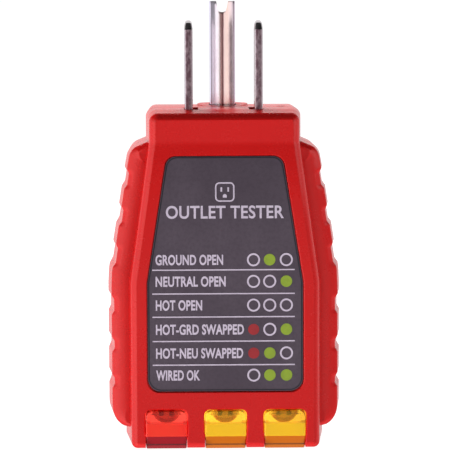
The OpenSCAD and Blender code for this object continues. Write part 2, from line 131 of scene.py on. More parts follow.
def solid(verts, faces):
    """Closed object from points in millimetres."""
    mesh = bpy.data.meshes.new("piece")
    mesh.from_pydata((np.asarray(verts, float) * MM).tolist(), [], faces)
    mesh.validate()
    with editing(mesh) as work:
        weld(work, gap=1e-7, sliver=1e-8)
        face_outwards(work)
        if work.calc_volume(signed=True) < 0:
            bmesh.ops.reverse_faces(work, faces=work.faces)
    return add_object(mesh)


def evaluated_mesh(piece, **options):
    bpy.context.view_layer.update()
    graph = bpy.context.evaluated_depsgraph_get()
    return bpy.data.meshes.new_from_object(piece.evaluated_get(graph), depsgraph=graph, **options)


def apply_modifiers(piece):
    mesh, old = evaluated_mesh(piece, preserve_all_data_layers=True), piece.data
    piece.modifiers.clear()
    piece.data = mesh
    bpy.data.meshes.remove(old)


def drop(piece):
    mesh = piece.data
    bpy.data.objects.remove(piece)
    bpy.data.meshes.remove(mesh)


def boolean(body, tool, operation):
    """Applies the tool to the body and uses the tool up."""
    modifier = body.modifiers.new("cut", "BOOLEAN")
    modifier.operation = operation
    modifier.solver = "MANIFOLD"
    modifier.object = tool
    apply_modifiers(body)
    if len(body.data.polygons) < 4:
        raise RuntimeError("boolean failed: " + operation)
    drop(tool)


def cut(body, tool):
    boolean(body, tool, "DIFFERENCE")


def fuse(body, tool):
    boolean(body, tool, "UNION")


def shade(piece, sharp_angle):
    """Smooth shading with edges above the angle, in degrees, kept sharp."""
    for face in piece.data.polygons:
        face.use_smooth = True
    piece.data.set_sharp_from_angle(angle=math.radians(sharp_angle))
    modifier = piece.modifiers.new("normals", "WEIGHTED_NORMAL")
    modifier.mode = "FACE_AREA_WITH_ANGLE"
    modifier.weight = 50
    modifier.keep_sharp = True
    modifier.thresh = 0.01
    apply_modifiers(piece)
    return piece


def ring_walls(ring_count, size):
    faces = []
    for j in range(ring_count - 1):
        for i in range(size):
            k = (i + 1) % size
            faces.append((j * size + i, j * size + k, (j + 1) * size + k, (j + 1) * size + i))
    return faces


def skin(rings):
    """Closed solid over mirrored rings; the ends are capped in strips from right to left."""
    size = len(rings[0])
    faces = ring_walls(len(rings), size)
    for base in (0, (len(rings) - 1) * size):
        for i in range(size // 2 - 1):
            faces.append((base + i, base + size - 1 - i, base + size - 2 - i, base + i + 1))
    return solid(np.vstack(rings), faces)


def loft(rings, cap=True):
    """Solid over general rings of equal length, capped with single faces or left open."""
    size = len(rings[0])
    faces = ring_walls(len(rings), size)
    if cap:
        faces.append(tuple(range(size)))
        faces.append(tuple(range((len(rings) - 1) * size, len(rings) * size)))
    return solid(np.vstack(rings), faces)


def fill_ends(piece, axis, middle, sides):
    """Fills the open rims on the given sides (-1 or 1) of middle, in metres, along an axis."""
    with editing(piece.data) as work:
        open_edges = [edge for edge in work.edges if len(edge.link_faces) == 1]
        for side in sides:
            rim = [edge for edge in open_edges
                   if (sum(vert.co[axis] for vert in edge.verts) / 2 - middle) * side > 0]
            bmesh.ops.triangle_fill(work, use_beauty=True, use_dissolve=False, edges=rim)
        face_outwards(work)


def box(x0, x1, y0, y1, z0, z1):
    corners = [(x, y, z) for x in (x0, x1) for y in (y0, y1) for z in (z0, z1)]
    return solid(corners, [(0, 1, 3, 2), (4, 6, 7, 5), (0, 4, 5, 1),
                           (2, 3, 7, 6), (0, 2, 6, 4), (1, 5, 7, 3)])


def turned(start, axis, profile, segments):
    """Solid of revolution from (radius, distance along the axis from start) pairs."""
    across, up = [i for i in range(3) if i != axis]
    angles = np.arange(segments) * 2 * math.pi / segments
    rings = []
    for radius, distance in profile:
        radius = max(radius, 1e-4)
        ring = np.zeros((segments, 3))
        ring[:, axis] = start[axis] + distance
        ring[:, across] = start[across] + radius * np.cos(angles)
        ring[:, up] = start[up] + radius * np.sin(angles)
        rings.append(ring)
    return loft(rings)


def rod(start, axis, radius, length, segments=48):
    return turned(start, axis, [(radius, 0.0), (radius, length)], segments)


# --------------------------------------------------------------------------
# Outlines. A half outline holds (x, z) from the top centre down the +X side.
# A loop is closed and counter-clockwise.
# --------------------------------------------------------------------------
def clamp(value):
    return min(1, max(0, value))


def smooth(share):
    return share * share * (3 - 2 * share)


def arc(x, z, radius, start, end, steps):
    angles = [math.radians(start + (end - start) * i / steps) for i in range(steps + 1)]
    return [(x + radius * math.cos(angle), z + radius * math.sin(angle)) for angle in angles]


def outward(half):
    """Mitred outward directions of a half outline that meets its mirror image."""
    edges = half[1:] - half[:-1]
    edges = edges / np.linalg.norm(edges, axis=1)[:, None]
    normals = np.stack([-edges[:, 1], edges[:, 0]], 1)
    before = np.vstack([[[0.0, 1.0]], normals])
    after = np.vstack([normals, [[0.0, -1.0]]])
    return (before + after) / (1 + (before * after).sum(1))[:, None]


def closed_ring(half, y):
    """Right side down, then left side up, at one y or a y per point."""
    y = np.broadcast_to(np.asarray(y, float), (len(half),))
    right = np.stack([half[:, 0], y, half[:, 1]], 1)
    left = right[::-1].copy()
    left[:, 0] *= -1
    return np.vstack([right, left])


def prism(half, y0, y1):
    return skin([closed_ring(half, y0), closed_ring(half, y1)])


def loop_at_y(loop, y):
    return np.stack([loop[:, 0], np.full(len(loop), y), loop[:, 1]], 1)


def loop_at_z(loop, z):
    return np.stack([loop[:, 0], loop[:, 1], np.full(len(loop), z)], 1)


def grown(loop, distance):
    """A loop moved outwards, or inwards for a negative distance, with mitred corners."""
    loop = np.asarray(loop, float)
    before, after = loop - np.roll(loop, 1, 0), np.roll(loop, -1, 0) - loop
    before /= np.linalg.norm(before, axis=1)[:, None]
    after /= np.linalg.norm(after, axis=1)[:, None]
    before = np.stack([before[:, 1], -before[:, 0]], 1)
    after = np.stack([after[:, 1], -after[:, 0]], 1)
    return loop + distance * (before + after) / (1 + (before * after).sum(1))[:, None]


def rounded_loop(points, radii, steps):
    """Loop with its convex corners rounded; a radius of 0 leaves a corner alone."""
    rounded = []
    count = len(points)
    for i in range(count):
        before, corner, after = (np.array(points[(i + k) % count], float) for k in (-1, 0, 1))
        radius = radii[i]
        if radius == 0:
            rounded.append(corner)
            continue
        back, ahead = before - corner, after - corner
        back /= np.linalg.norm(back)
        ahead /= np.linalg.norm(ahead)
        half_angle = math.acos(back @ ahead) / 2
        tangent = radius / math.tan(half_angle)
        middle = (back + ahead) / np.linalg.norm(back + ahead)
        centre = corner + middle * (radius / math.sin(half_angle))
        first, last = corner + back * tangent - centre, corner + ahead * tangent - centre
        start, end = math.atan2(first[1], first[0]), math.atan2(last[1], last[0])
        if end < start:
            end += 2 * math.pi
        for k in range(steps + 1):
            angle = start + (end - start) * k / steps
            rounded.append(centre + radius * np.array([math.cos(angle), math.sin(angle)]))
    return np.array(rounded)


# --------------------------------------------------------------------------
# Outlines of the case
# --------------------------------------------------------------------------
TAPER_Z = [-NECK_LEN - (TAPER_END - NECK_LEN) * i / 8 for i in range(9)]


def lean(z):
    """Front surface of the core, as a y: hollow along the taper, then flat."""
    z = np.asarray(z, float)
    share = np.clip((z + TAPER_END) / (TAPER_END - NECK_LEN), 0, 1)
    return np.where(z > -NECK_LEN, -NECK_FRONT, -FRONT + (FRONT - NECK_FRONT) * share ** 2.6)


def core_half(inset=0.0, steps=8):
    """The core: a neck, a taper that widens downwards, and a straight lower part."""
    top_radius, low_radius = max(1.6 - inset, 0.3), max(1.1 - inset, 0.3)
    neck, side = NECK - inset, CORE - inset
    points = arc(neck - top_radius, -inset - top_radius, top_radius, 90, 0, steps)
    points += [(neck, -3.6), (neck, -NECK_LEN + 0.35)]
    points += [(neck + (CORE - NECK) * (NECK_LEN + z) / (NECK_LEN - TAPER_END), z)
               for z in [-NECK_LEN, -NECK_LEN - 0.4] + TAPER_Z[1:]]
    points += [(side, z) for z in (-36.0, -42.0, -48.0, -54.0)]
    points += arc(side - low_radius, BOTTOM + inset + low_radius, low_radius, 0, -90, steps)
    return np.array(points, float)


def wing_x(z):
    """Half width across the wings at a height."""
    return np.interp(z, [-WING_END, -TAPER_END - 1.2, -TAPER_END + 1.4, -9.0],
                     [WING + WING_GROW, WING + 0.17, WING + 0.05, WING_TOP + WING_GROW])


def notch_depth(z):
    """Depth of the notches, 0 to 1: a steep step in, a flat, and a step out."""
    step = 0.75
    depth = np.zeros_like(z)
    for upper, lower in NOTCHES:
        inside = np.minimum((upper + NOTCH_FLARE - z) / step, (z - lower + NOTCH_FLARE) / step)
        depth = np.maximum(depth, np.clip(inside, 0, 1))
    return depth


def wing_shoulder(inset, steps):
    """Sloping shoulder that rounds over into the wing's side."""
    return [(12.0, -NECK_LEN + 0.84 - inset)] + arc(
        WING_TOP + WING_GROW - SHOULDER_RADIUS, -NECK_LEN - 3.57,
        SHOULDER_RADIUS - inset, 66, 4, steps)


def wing_half():
    """Wing outline, with stations set close round each notch."""
    low_radius, min_gap = 3.9, 0.1
    heights = set(np.arange(-9.7, -WING_END + low_radius, -0.42).round(3).tolist())
    for upper, lower in NOTCHES:
        for out in (NOTCH_FLARE, -0.4, 0.5, 0.2, -0.25):
            heights |= {round(upper + out, 3), round(lower - out, 3)}
    heights = sorted(heights, reverse=True)
    kept = heights[:1]
    for z in heights[1:]:
        if kept[-1] - z > min_gap:
            kept.append(z)
    side = [(float(wing_x(z)), z) for z in kept]
    low = arc(WING + WING_GROW - low_radius, -WING_END + low_radius, low_radius, 0, -72, 12)
    end = [(CORE - 1.2, low[-1][1] - 0.35)]
    return np.array(wing_shoulder(0, 14) + side + low + end, float)


def wing_plain(inset):
    """Wing outline for the hollow: coarser, and without notches."""
    low_radius = 3.2
    side = [(float(wing_x(z)) - inset, z) for z in (-12.0, -20.0, -29.5, -32.1, -45.0)]
    low = arc(WING - 0.15 - low_radius, -WING_END + low_radius, low_radius - inset, 0, -72, 8)
    return np.array(wing_shoulder(inset, 8) + side + low, float)


def chart_half(grow):
    """Outline of the chart, which widens down the taper."""
    top_radius, low_radius = 2, 2.3
    side, top, low = 14.0 + grow, -8.2 + grow, -50.6 - grow
    points = arc(10.7 + grow - top_radius, top - top_radius, top_radius, 88, 10, 8)
    x0, z0 = points[-1]
    points += [(x0 + (side - x0) * (z0 - z) / (z0 + TAPER_END), z)
               for z in TAPER_Z if z < z0 - 0.6]
    points += [(side, -40.0)]
    points += arc(side - low_radius, low + low_radius, low_radius, 0, -88, 8)
    return np.array(points, float)


# --------------------------------------------------------------------------
# Outer surfaces of the case halves, as rings from the parting plane outwards
# --------------------------------------------------------------------------
def face_fall(y):
    """How far the plug face drops in front of the blades."""
    share = clamp((-3.3 - y) / 3.6)
    return 0.5 * smooth(share) * 0.6 + 0.5 * share * 0.4


def lower_top(points, fall):
    """The points near the plug face moved down."""
    lowered = points.copy()
    lowered[:, 1] -= fall * smooth(np.clip((points[:, 1] + 4.8) / 3.4, 0, 1))
    return lowered


def drafted(points, normals, y, whole=False):
    """Sides moved in by their draft at y: every point, or only those that face sideways."""
    moved = points.copy()
    taper = np.clip((-points[:, 1] - NECK_LEN) / (TAPER_END - NECK_LEN), 0, 1)
    rate = DRAFT + TAPER_DRAFT * taper
    facing = 1 if whole else np.clip(normals[:, 0], 0, 1)
    moved[:, 0] -= rate * np.abs(np.asarray(y, float) - PART) * facing
    return moved


def rear_draft_y(y):
    """The rear half leans less, so its draft is taken at a smaller distance."""
    return 0.35 * (y - PART) + PART


def core_front_rings():
    half = core_half()
    normals = outward(half)
    z = half[:, 1]
    rings = [closed_ring(half - normals * EDGE, PART), closed_ring(half, PART - EDGE)]
    for y in (0.0, -3.3, -3.8, -4.4, -5.0, -5.7, -6.4):
        lowered = lower_top(half, face_fall(y))
        rings.append(closed_ring(drafted(lowered, normals, y, True), y))
    # Front edge: half round, half chamfer, and smaller towards the lower end
    radius, flat, steps = 1.12, 0.5, 12
    scale = np.interp(-z, [6.0, 31.0], [1.0, 0.9])[:, None]
    for k in range(steps + 1):
        share = k / steps
        angle = math.radians(90 * share)
        inwards = (1 - flat) * (1 - math.cos(angle)) + flat * share
        behind = (1 - flat) * (1 - math.sin(angle)) + flat * (1 - share)
        points = half - normals * radius * inwards * scale
        y = lean(z) + radius * behind * scale[:, 0]
        lowered = lower_top(points, face_fall(-6.9) + 0.12 * inwards)
        rings.append(closed_ring(drafted(lowered, normals, y, True), y))
    return rings


def core_rear_rings():
    half = core_half()
    normals = outward(half)
    rings = [closed_ring(half - normals * EDGE, PART), closed_ring(half, PART + EDGE)]
    radius, steps = 1.0, 8
    for k in range(steps + 1):
        angle = math.radians(90 * k / steps)
        y = REAR - radius * (1 - math.sin(angle))
        points = half - normals * radius * (1 - math.cos(angle))
        rings.append(closed_ring(drafted(points, normals, rear_draft_y(y), True), y))
    return rings


def wing_rings(front):
    half = wing_half()
    normals = outward(half)
    beside = half[:, 0] > WING_TOP - 2.5
    notches = (notch_depth(half[:, 1]) * beside)[:, None] * np.array([[NOTCH_DEPTH, 0.0]])
    # On the front half the shoulder's edge is the sharper one
    sideways = np.clip(normals[:, 0] * 1.06, 0, 1)[:, None]
    tight = 0.14 + 0.86 * sideways ** 1.2 if front else 1

    def ring(inset, y, notch=1, draft_y=None):
        points = half - normals * inset * tight - notches * notch
        return closed_ring(drafted(points, normals, y if draft_y is None else draft_y), y)

    rings = [ring(EDGE, PART), ring(0, PART - EDGE if front else PART + EDGE)]
    if not front:
        radius, steps = 1.6, 8
        for k in range(steps + 1):
            angle = math.radians(90 * k / steps)
            inset = radius * (1 - math.cos(angle))
            y = REAR - radius * (1 - math.sin(angle))
            rings.append(ring(inset, y, 1 - clamp((inset - 0.25) / 1.1), rear_draft_y(y)))
        return rings

    rings.append(ring(0, 0.0))
    # Crisp edge of 54 degrees
    edge_y, radius, turn = -4.02, 0.34, 54
    for k in range(4):
        angle = math.radians(turn * k / 3)
        inset, y = radius * (1 - math.cos(angle)), edge_y - radius * math.sin(angle)
        rings.append(ring(inset, y))
    # then a face that rolls over from 36 degrees to just past flat
    start_inset, start_y, roll, start = inset, y, 4.7, math.radians(36)
    for k in range(1, 11):
        angle = math.radians(36 - 39 * k / 10)
        inset = start_inset + roll * (math.sin(start) - math.sin(angle))
        y = start_y - roll * (math.cos(angle) - math.cos(start))
        rings.append(ring(inset, y, 1 - clamp(inset - 0.3)))
    return rings


# --------------------------------------------------------------------------
# Cutters for the case
# --------------------------------------------------------------------------
def cavity(y0, y1, front):
    """Hollow of a half, with its posts left standing."""
    hollow = prism(core_half(WALL, 3), y0, y1)
    fuse(hollow, prism(wing_plain(WALL), max(y0, -WING_FRONT + WALL), y1))
    if front:
        fuse(hollow, box(-15.3, 15.3, -FRONT + WALL, 0, BOTTOM + WALL, -TAPER_END - 0.6))
    # The plug face stays thicker than the walls
    cut(hollow, box(-30, 30, y0 - 5, y1 + 5, -2.5, 5))
    post_radius = 2.4 if front else 2.9
    for side in (-1, 1):
        for z in SCREW_Z:
            cut(hollow, rod((side * SCREW_X, y0 - 5, z), Y, post_radius, y1 - y0 + 10))
    if not front:
        for z in (-19.5, -46.5):
            cut(hollow, rod((0, 7.8, z), Y, 2.2, 20))
    return hollow


def lip(radius, reach):
    """Rounded rim of an opening, as (distance outwards, y from the surface) pairs."""
    angles = [math.radians(76 * k / 5) for k in range(6)]
    pairs = [(radius * (1 - math.cos(a)), radius * (1 - math.sin(a))) for a in angles]
    return pairs + [(radius * 2.6, -0.25), (radius * 2.6, -reach)]


def recess_cutter():
    """Hollow for the chart plate, at an even depth behind the core's front."""
    half = chart_half(0.12)
    normals = outward(half)
    return skin([closed_ring(half + normals * out, lean(half[:, 1]) + behind)
                 for out, behind in [(0, RECESS)] + lip(radius=0.2, reach=1.2)])


def window_cutter(i):
    """Lamp window opening, which runs out past the lower end."""
    x = i * LAMP_PITCH
    half = LENS_W / 2 + 0.17
    low_half = half - 0.13          # closer round the lower end
    below, top = BOTTOM - 2.5, -LENS_TOP + 0.17
    points = [
        (x - low_half, below), (x + low_half, below), (x + low_half, -59.2), (x + half, -57.5),
        (x + half, top), (x - half, top), (x - half, -57.5), (x - low_half, -59.2)]
    loop = rounded_loop(points, [0, 0, 0, 0, 1.1, 1.1, 0, 0], 6)
    rings = [loop_at_y(grown(loop, 0), 2.2)]
    rings += [loop_at_y(grown(loop, out), -FRONT + behind)
              for out, behind in lip(radius=0.22, reach=1.5)]
    return loft(rings)


def prong_opening(loop, surface, top):
    """Cutter for a hole with a small rounded mouth at the height of the surface."""
    stations = [                    # distance outwards, z
        (0, -4), (0, surface - 0.12), (0.035, surface - 0.035),
        (0.12, surface), (0.2, surface + 0.05), (0.2, top)]
    return loft([loop_at_z(grown(loop, out), z) for out, z in stations])


def blade_slot(side):
    outer, inner = side * (BLADE_X + 0.75 + 0.1), side * (BLADE_X - 0.75 - 0.95)
    x0, x1 = min(outer, inner), max(outer, inner)
    corners = [(x0, -3.9), (x1, -3.9), (x1, 4.9), (x0, 4.9)]
    return prong_opening(rounded_loop(corners, [0.3] * 4, 4), surface=0.0, top=1.0)


def pin_collar():
    """Raised ring round the ground prong, lower towards the front."""
    profile = [                     # radius, z
        (0, -1.5), (4.95, -1.5), (4.95, -0.02), (4.86, 0.03), (4.76, 0.12),
        (4.7, 0.25), (4.66, 0.34), (4.58, 0.41), (4.46, 0.45), (0, 0.45)]
    collar = turned((0, PIN_Y, 0), Z, profile, 96)
    for vert in collar.data.vertices:
        if vert.co.z > 0.05 * MM:
            vert.co.z *= 0.10 + 0.90 * clamp((vert.co.y / MM - PIN_Y + 3.6) / 3.4)
    return collar


def screw_hole(x, z):
    """Stepped hole from inside the rear half, with a rounded mouth."""
    surface = REAR - PART + 1
    shank, head = 1.45, 2.15
    profile = [                     # radius, distance towards the rear
        (0, 0), (shank, 0), (shank, surface - 5.2), (head, surface - 5.2),
        (head, surface - 0.22), (2.2, surface - 0.09), (2.32, surface),
        (2.42, surface + 0.1), (2.42, surface + 1), (0, surface + 1)]
    return turned((x, PART - 1, z), Y, profile, 56)


# --------------------------------------------------------------------------
# Case halves
# --------------------------------------------------------------------------
def build_front():
    body = skin(core_front_rings())
    fuse(body, skin(wing_rings(True)))
    cut(body, cavity(-NECK_FRONT + WALL, PART + 2, True))
    cut(body, recess_cutter())
    for i in (-1, 0, 1):
        cut(body, window_cutter(i))
    for side in (-1, 1):
        cut(body, blade_slot(side))
        for z in SCREW_Z:
            cut(body, rod((side * SCREW_X, -1.5, z), Y, 1.1, 12))
    tidy(body)
    return shade(body, 33)


def build_rear():
    body = skin(core_rear_rings())
    fuse(body, skin(wing_rings(False)))
    cut(body, cavity(PART - 2, REAR - WALL, False))
    fuse(body, pin_collar())
    radius = PIN_RADIUS + 0.1
    hole = arc(0, PIN_Y, radius, 0, 180, 18) + [(-radius, PIN_Y - radius), (radius, PIN_Y - radius)]
    cut(body, prong_opening(hole, surface=0.45, top=1.5))
    # Shallow round pit in the plug face
    pit = [                         # radius, z
        (0, -0.25), (0.8, -0.25), (0.86, -0.2), (0.88, -0.06),
        (0.95, 0.0), (1.05, 0.06), (1.05, 1), (0, 1)]
    cut(body, turned((10.8, 7.5, 0), Z, pit, 40))
    for side in (-1, 1):
        for z in SCREW_Z:
            cut(body, screw_hole(side * SCREW_X, z))
    tidy(body)
    return shade(body, 33)


# --------------------------------------------------------------------------
# Chart plate and its print, following the hollow of the case
# --------------------------------------------------------------------------
PLATE_FRONT = RECESS - 0.35         # front of the plate, behind the case's surface
PRINT_FRONT, PRINT_BACK = -0.022, 0.004     # y of the print's faces, from the plate's front
EDGE_SHADE_FRONT = -0.008
TEXT_LEFT, TEXT_HEIGHT = -12.5, 1.90
ROWS = [    # z, right end of the text, text, marks: o open ring, g green, r red
    (-26.8, -0.35, "GROUND OPEN", "ogo"),
    (-30.7, 0.10, "NEUTRAL OPEN", "oog"),
    (-35.0, -4.15, "HOT OPEN", "ooo"),
    (-39.4, 3.35, "HOT-GRD SWAPPED", "rog"),
    (-43.7, 3.20, "HOT-NEU SWAPPED", "rgo"),
    (-47.7, -4.60, "WIRED OK", "ogg")]
MARK_X = [5.1, 8.0, 11.0]
LINE_Z, LINE_HALF = [-28.6, -32.9, -37.1, -41.5, -45.8], 0.11
SOCKET_Z = -14.6


def build_plate():
    half = chart_half(-0.03)
    normals = outward(half)
    stations = [                    # distance outwards, y from the case's surface
        (-0.06, RECESS - 0.005), (0.0, RECESS - 0.06), (0.0, PLATE_FRONT + 0.07),
        (-0.02, PLATE_FRONT + 0.025), (-0.07, PLATE_FRONT)]
    return shade(skin([closed_ring(half + normals * out, lean(half[:, 1]) + behind)
                       for out, behind in stations]), 30)


def read_points(mesh):
    points = np.zeros(len(mesh.vertices) * 3)
    mesh.vertices.foreach_get("co", points)
    return points.reshape(-1, 3)


def write_points(mesh, points):
    mesh.vertices.foreach_set("co", points.ravel())
    mesh.update()


def bend_to_plate(piece):
    """Lays a flat piece, made at y 0, on the front of the plate."""
    points = read_points(piece.data)
    points[:, 1] += (lean(points[:, 2] / MM) + PLATE_FRONT) * MM
    write_points(piece.data, points)
    return piece


def flat_piece(outlines, front=PRINT_FRONT):
    """Thin solids in x and z, each from a loop, or from an (outer, inner) tuple of loops."""
    mesh = bpy.data.meshes.new("print")
    with editing(mesh, sources=()) as work:
        def put(loop, y):
            return [work.verts.new((x * MM, y * MM, z * MM)) for x, z in loop]

        for outline in outlines:
            outer, inner = outline if isinstance(outline, tuple) else (outline, None)
            outer_front, outer_back = put(outer, front), put(outer, PRINT_BACK)
            count = len(outer_front)
            following = [(i, (i + 1) % count) for i in range(count)]
            for i, j in following:
                work.faces.new((outer_front[i], outer_front[j], outer_back[j], outer_back[i]))
            if inner is None:
                work.faces.new(outer_front)
                work.faces.new(outer_back[::-1])
                continue
            inner_front, inner_back = put(inner, front), put(inner, PRINT_BACK)
            for i, j in following:
                work.faces.new((inner_front[j], inner_front[i], inner_back[i], inner_back[j]))
                work.faces.new((outer_front[i], inner_front[i], inner_front[j], outer_front[j]))
                work.faces.new((outer_back[j], inner_back[j], inner_back[i], outer_back[i]))
        face_outwards(work)
    return add_object(mesh)


def circle(x, z, radius, count=48):
    angles = [2 * math.pi * k / count for k in range(count)]
    return [(x + radius * math.cos(angle), z + radius * math.sin(angle)) for angle in angles]


def lettering(text, left, right, z_mid, height, bold):
    """Text as thin solids, stretched to fit between left and right."""
    curve = bpy.data.curves.new("lettering", "FONT")
    curve.body = text
    curve.extrude = 0.01
    curve.resolution_u = 6
    curve.offset = bold
    curve.space_character = 1.04
    source = add_object(curve)
    mesh = evaluated_mesh(source)
    bpy.data.objects.remove(source)
    points = read_points(mesh)
    low, high = points.min(0), points.max(0)
    x = left + (points[:, 0] - low[0]) / (high[0] - low[0]) * (right - left)
    z = z_mid - height / 2 + (points[:, 1] - low[1]) / (high[1] - low[1]) * height
    y = np.where(points[:, 2] > 0, PRINT_FRONT, PRINT_BACK)
    write_points(mesh, np.stack([x, y, z], 1) * MM)
    with editing(mesh) as work:
        weld(work, gap=2e-7, sliver=2e-7)
        face_outwards(work)
    return add_object(mesh)


def join(pieces):
    mesh = bpy.data.meshes.new("joined")
    with editing(mesh, sources=[piece.data for piece in pieces]):
        pass
    for piece in pieces:
        drop(piece)
    return add_object(mesh)


def socket_picture():
    """A grounded socket: a rounded frame, two slots and a D-shaped hole."""
    half, slot_x, slot_half, hole = 1.75, 0.62, 0.15, 0.36
    corners = [(-half, SOCKET_Z - half), (half, SOCKET_Z - half),
               (half, SOCKET_Z + half), (-half, SOCKET_Z + half)]
    face = rounded_loop(corners, [0.8] * 4, 6)
    low, high = SOCKET_Z + 0.05, SOCKET_Z + 0.85
    holes = []
    for side in (-1, 1):
        x0, x1 = side * slot_x - slot_half, side * slot_x + slot_half
        holes.append([(x0, low), (x1, low), (x1, high), (x0, high)])
    holes.append(arc(0, SOCKET_Z - 0.72, hole, 0, 180, 12)
                 + [(-hole, SOCKET_Z - 1.0), (hole, SOCKET_Z - 1.0)])
    return [flat_piece([(face, grown(face, -0.26))]), flat_piece(holes)]


def build_print():
    """The pale, green and red parts of the print, and a dark ring of painted shade round its edge."""
    pale = [lettering(text, TEXT_LEFT, right, z + 0.02, TEXT_HEIGHT, bold=0.030)
            for z, right, text, marks in ROWS]
    pale.append(lettering("OUTLET TESTER", -10.6, 10.6, -18.2, 2.35, bold=0.02))
    pale.append(flat_piece([
        [(-13.1, z - LINE_HALF), (12.5, z - LINE_HALF), (12.5, z + LINE_HALF), (-13.1, z + LINE_HALF)]
        for z in LINE_Z]))
    rings, green, red = [], [], []
    for z, right, text, marks in ROWS:
        for x, mark in zip(MARK_X, marks):
            if mark == "o":
                rings.append((circle(x, z, 1.18), circle(x, z, 0.87)))
            elif mark == "g":
                green.append(circle(x, z, 1.04))
            else:
                red.append(circle(x, z, 1.0))
    pale.append(flat_piece(rings))
    pale += socket_picture()
    # Painted shade: a thin dark ring round the plate's edge, where it meets the hollow
    half = chart_half(-0.16)
    outer, inner = (closed_ring(edge, 0)[:, [0, 2]]
                    for edge in (half, half - outward(half) * 0.2))
    flats = [join(pale), flat_piece(green), flat_piece(red),
             flat_piece([(outer, inner)], EDGE_SHADE_FRONT)]
    return [bend_to_plate(flat) for flat in flats]


# --------------------------------------------------------------------------
# Lenses: a window in the front that wraps round the lower end
# --------------------------------------------------------------------------
def build_lens(i):
    x, half = i * LAMP_PITCH, LENS_W / 2
    face, end = -FRONT - 0.25, BOTTOM - 0.3
    thick, top_wall, side_wall = 1.15, 0.85, 0.75

    def extruded(profile, half_width):
        return loft([np.array([(x + side * half_width, y, z) for y, z in profile])
                     for side in (-1, 1)])

    profile = [                     # y, z: down the front and round the lower end
        (face, -LENS_TOP), (face, -58.62), (face + 0.02, -58.72), (face + 0.08, -58.84),
        (face + 0.62, -59.7), (face + 0.92, -60.18), (face + 1.02, -60.32),
        (face + 1.2, -60.5), (face + 1.9, -61.0), (face + 2.35, end),
        (2, end), (2, end + 1.3), (-7.0, end + 1.3), (-7.0, -LENS_TOP)]
    lens = extruded(profile, half)
    low_half = half - 0.06
    corners = [(x - low_half, end - 2), (x + low_half, end - 2), (x + half, -59.0),
               (x + half, -LENS_TOP), (x - half, -LENS_TOP), (x - half, -59.0)]
    loop = rounded_loop(corners, [0, 0, 0, 1.1, 1.1, 0], 8)
    boolean(lens, loft([loop_at_y(loop, y) for y in (-20, 5)]), "INTERSECT")
    tidy(lens, 1e-6)
    modifier = lens.modifiers.new("edge", "BEVEL")
    modifier.width = 0.26 * MM
    modifier.segments = 4
    modifier.limit_method = "ANGLE"
    modifier.angle_limit = math.radians(50)
    modifier.miter_outer = "MITER_ARC"
    apply_modifiers(lens)
    # Hollow behind the window
    inside, inner_top = face + thick, -LENS_TOP - top_wall
    cut(lens, extruded([
        (inside, inner_top), (inside, -58.2), (inside + 0.2, -58.55), (inside + 1.35, -59.85),
        (inside + 1.9, end + 1.3), (3, end + 1.3), (3, inner_top)], half - side_wall))
    # Flange behind the wall of the case
    flange = box(x - half - 0.8, x + half + 0.8, -FRONT + WALL + 0.3, -FRONT + WALL + 1.1,
                 BOTTOM + WALL + 0.3, -LENS_TOP + 0.9)
    cut(flange, box(x - half + side_wall, x + half - side_wall, -12, 0, -70, inner_top))
    fuse(lens, flange)
    tidy(lens, 1e-6)
    return shade(lens, 28)


# --------------------------------------------------------------------------
# Prongs
# --------------------------------------------------------------------------
def build_blade(side):
    """Flat blade with rounded edges; side is 1 for the right one and -1 for the left."""
    half, half_thick, top, edge = 3.175, 0.75, BLADE_TOP, 0.40
    centre = side * BLADE_X
    tip = [                         # y, z from the rear edge up to the middle of the tip
        (half, top - 1.72), (half - 0.02, top - 1.62), (half - 0.09, top - 1.53),
        (half - 0.6, top - 1.02), (half - 1.1, top - 0.52), (half - 1.19, top - 0.45),
        (half - 1.35, top - 0.37), (1.2, top - 0.16), (0.6, top - 0.04),
        (0.25, top - 0.006), (0.0, top)]
    profile = [(-half, -2.0), (half, -2.0)] + tip + [(-y, z) for y, z in tip[-2::-1]]

    def half_thickness(z):
        thinning = 0.16 * np.clip((z - (top - 1.0)) / 1.0, 0, 1) ** 1.3
        return half_thick - thinning - 0.04 * np.clip((z - (top - 1.7)) / 0.7, 0, 1)

    rings = []
    for face in (-1, 1):
        for degrees in (90, 60, 30, 0)[::-face]:
            angle = math.radians(degrees)
            loop = grown(profile, -edge * (1 - math.cos(angle)))
            x = half_thickness(loop[:, 1]) - edge * (1 - math.sin(angle))
            rings.append(np.stack([centre + face * x, loop[:, 0], loop[:, 1]], 1))
    blade = loft(rings, cap=False)
    fill_ends(blade, X, centre * MM, sides=(-1, 1))
    for half_x, half_y, low, high in (      # shoulder, soldering tail, root of the blade
            (half_thick, half + 1, -5.0, -2.58), (0.4, 1.6, -13.5, -4.5),
            (half_thick, half, -2.7, -1.7)):
        fuse(blade, box(centre - half_x, centre + half_x, -half_y, half_y, low, high))
    # Eye in the tail
    cut(blade, rod((centre - 3, 0, -12), X, 0.75, 6, 32))
    tidy(blade, 1e-6)
    return shade(blade, 24)


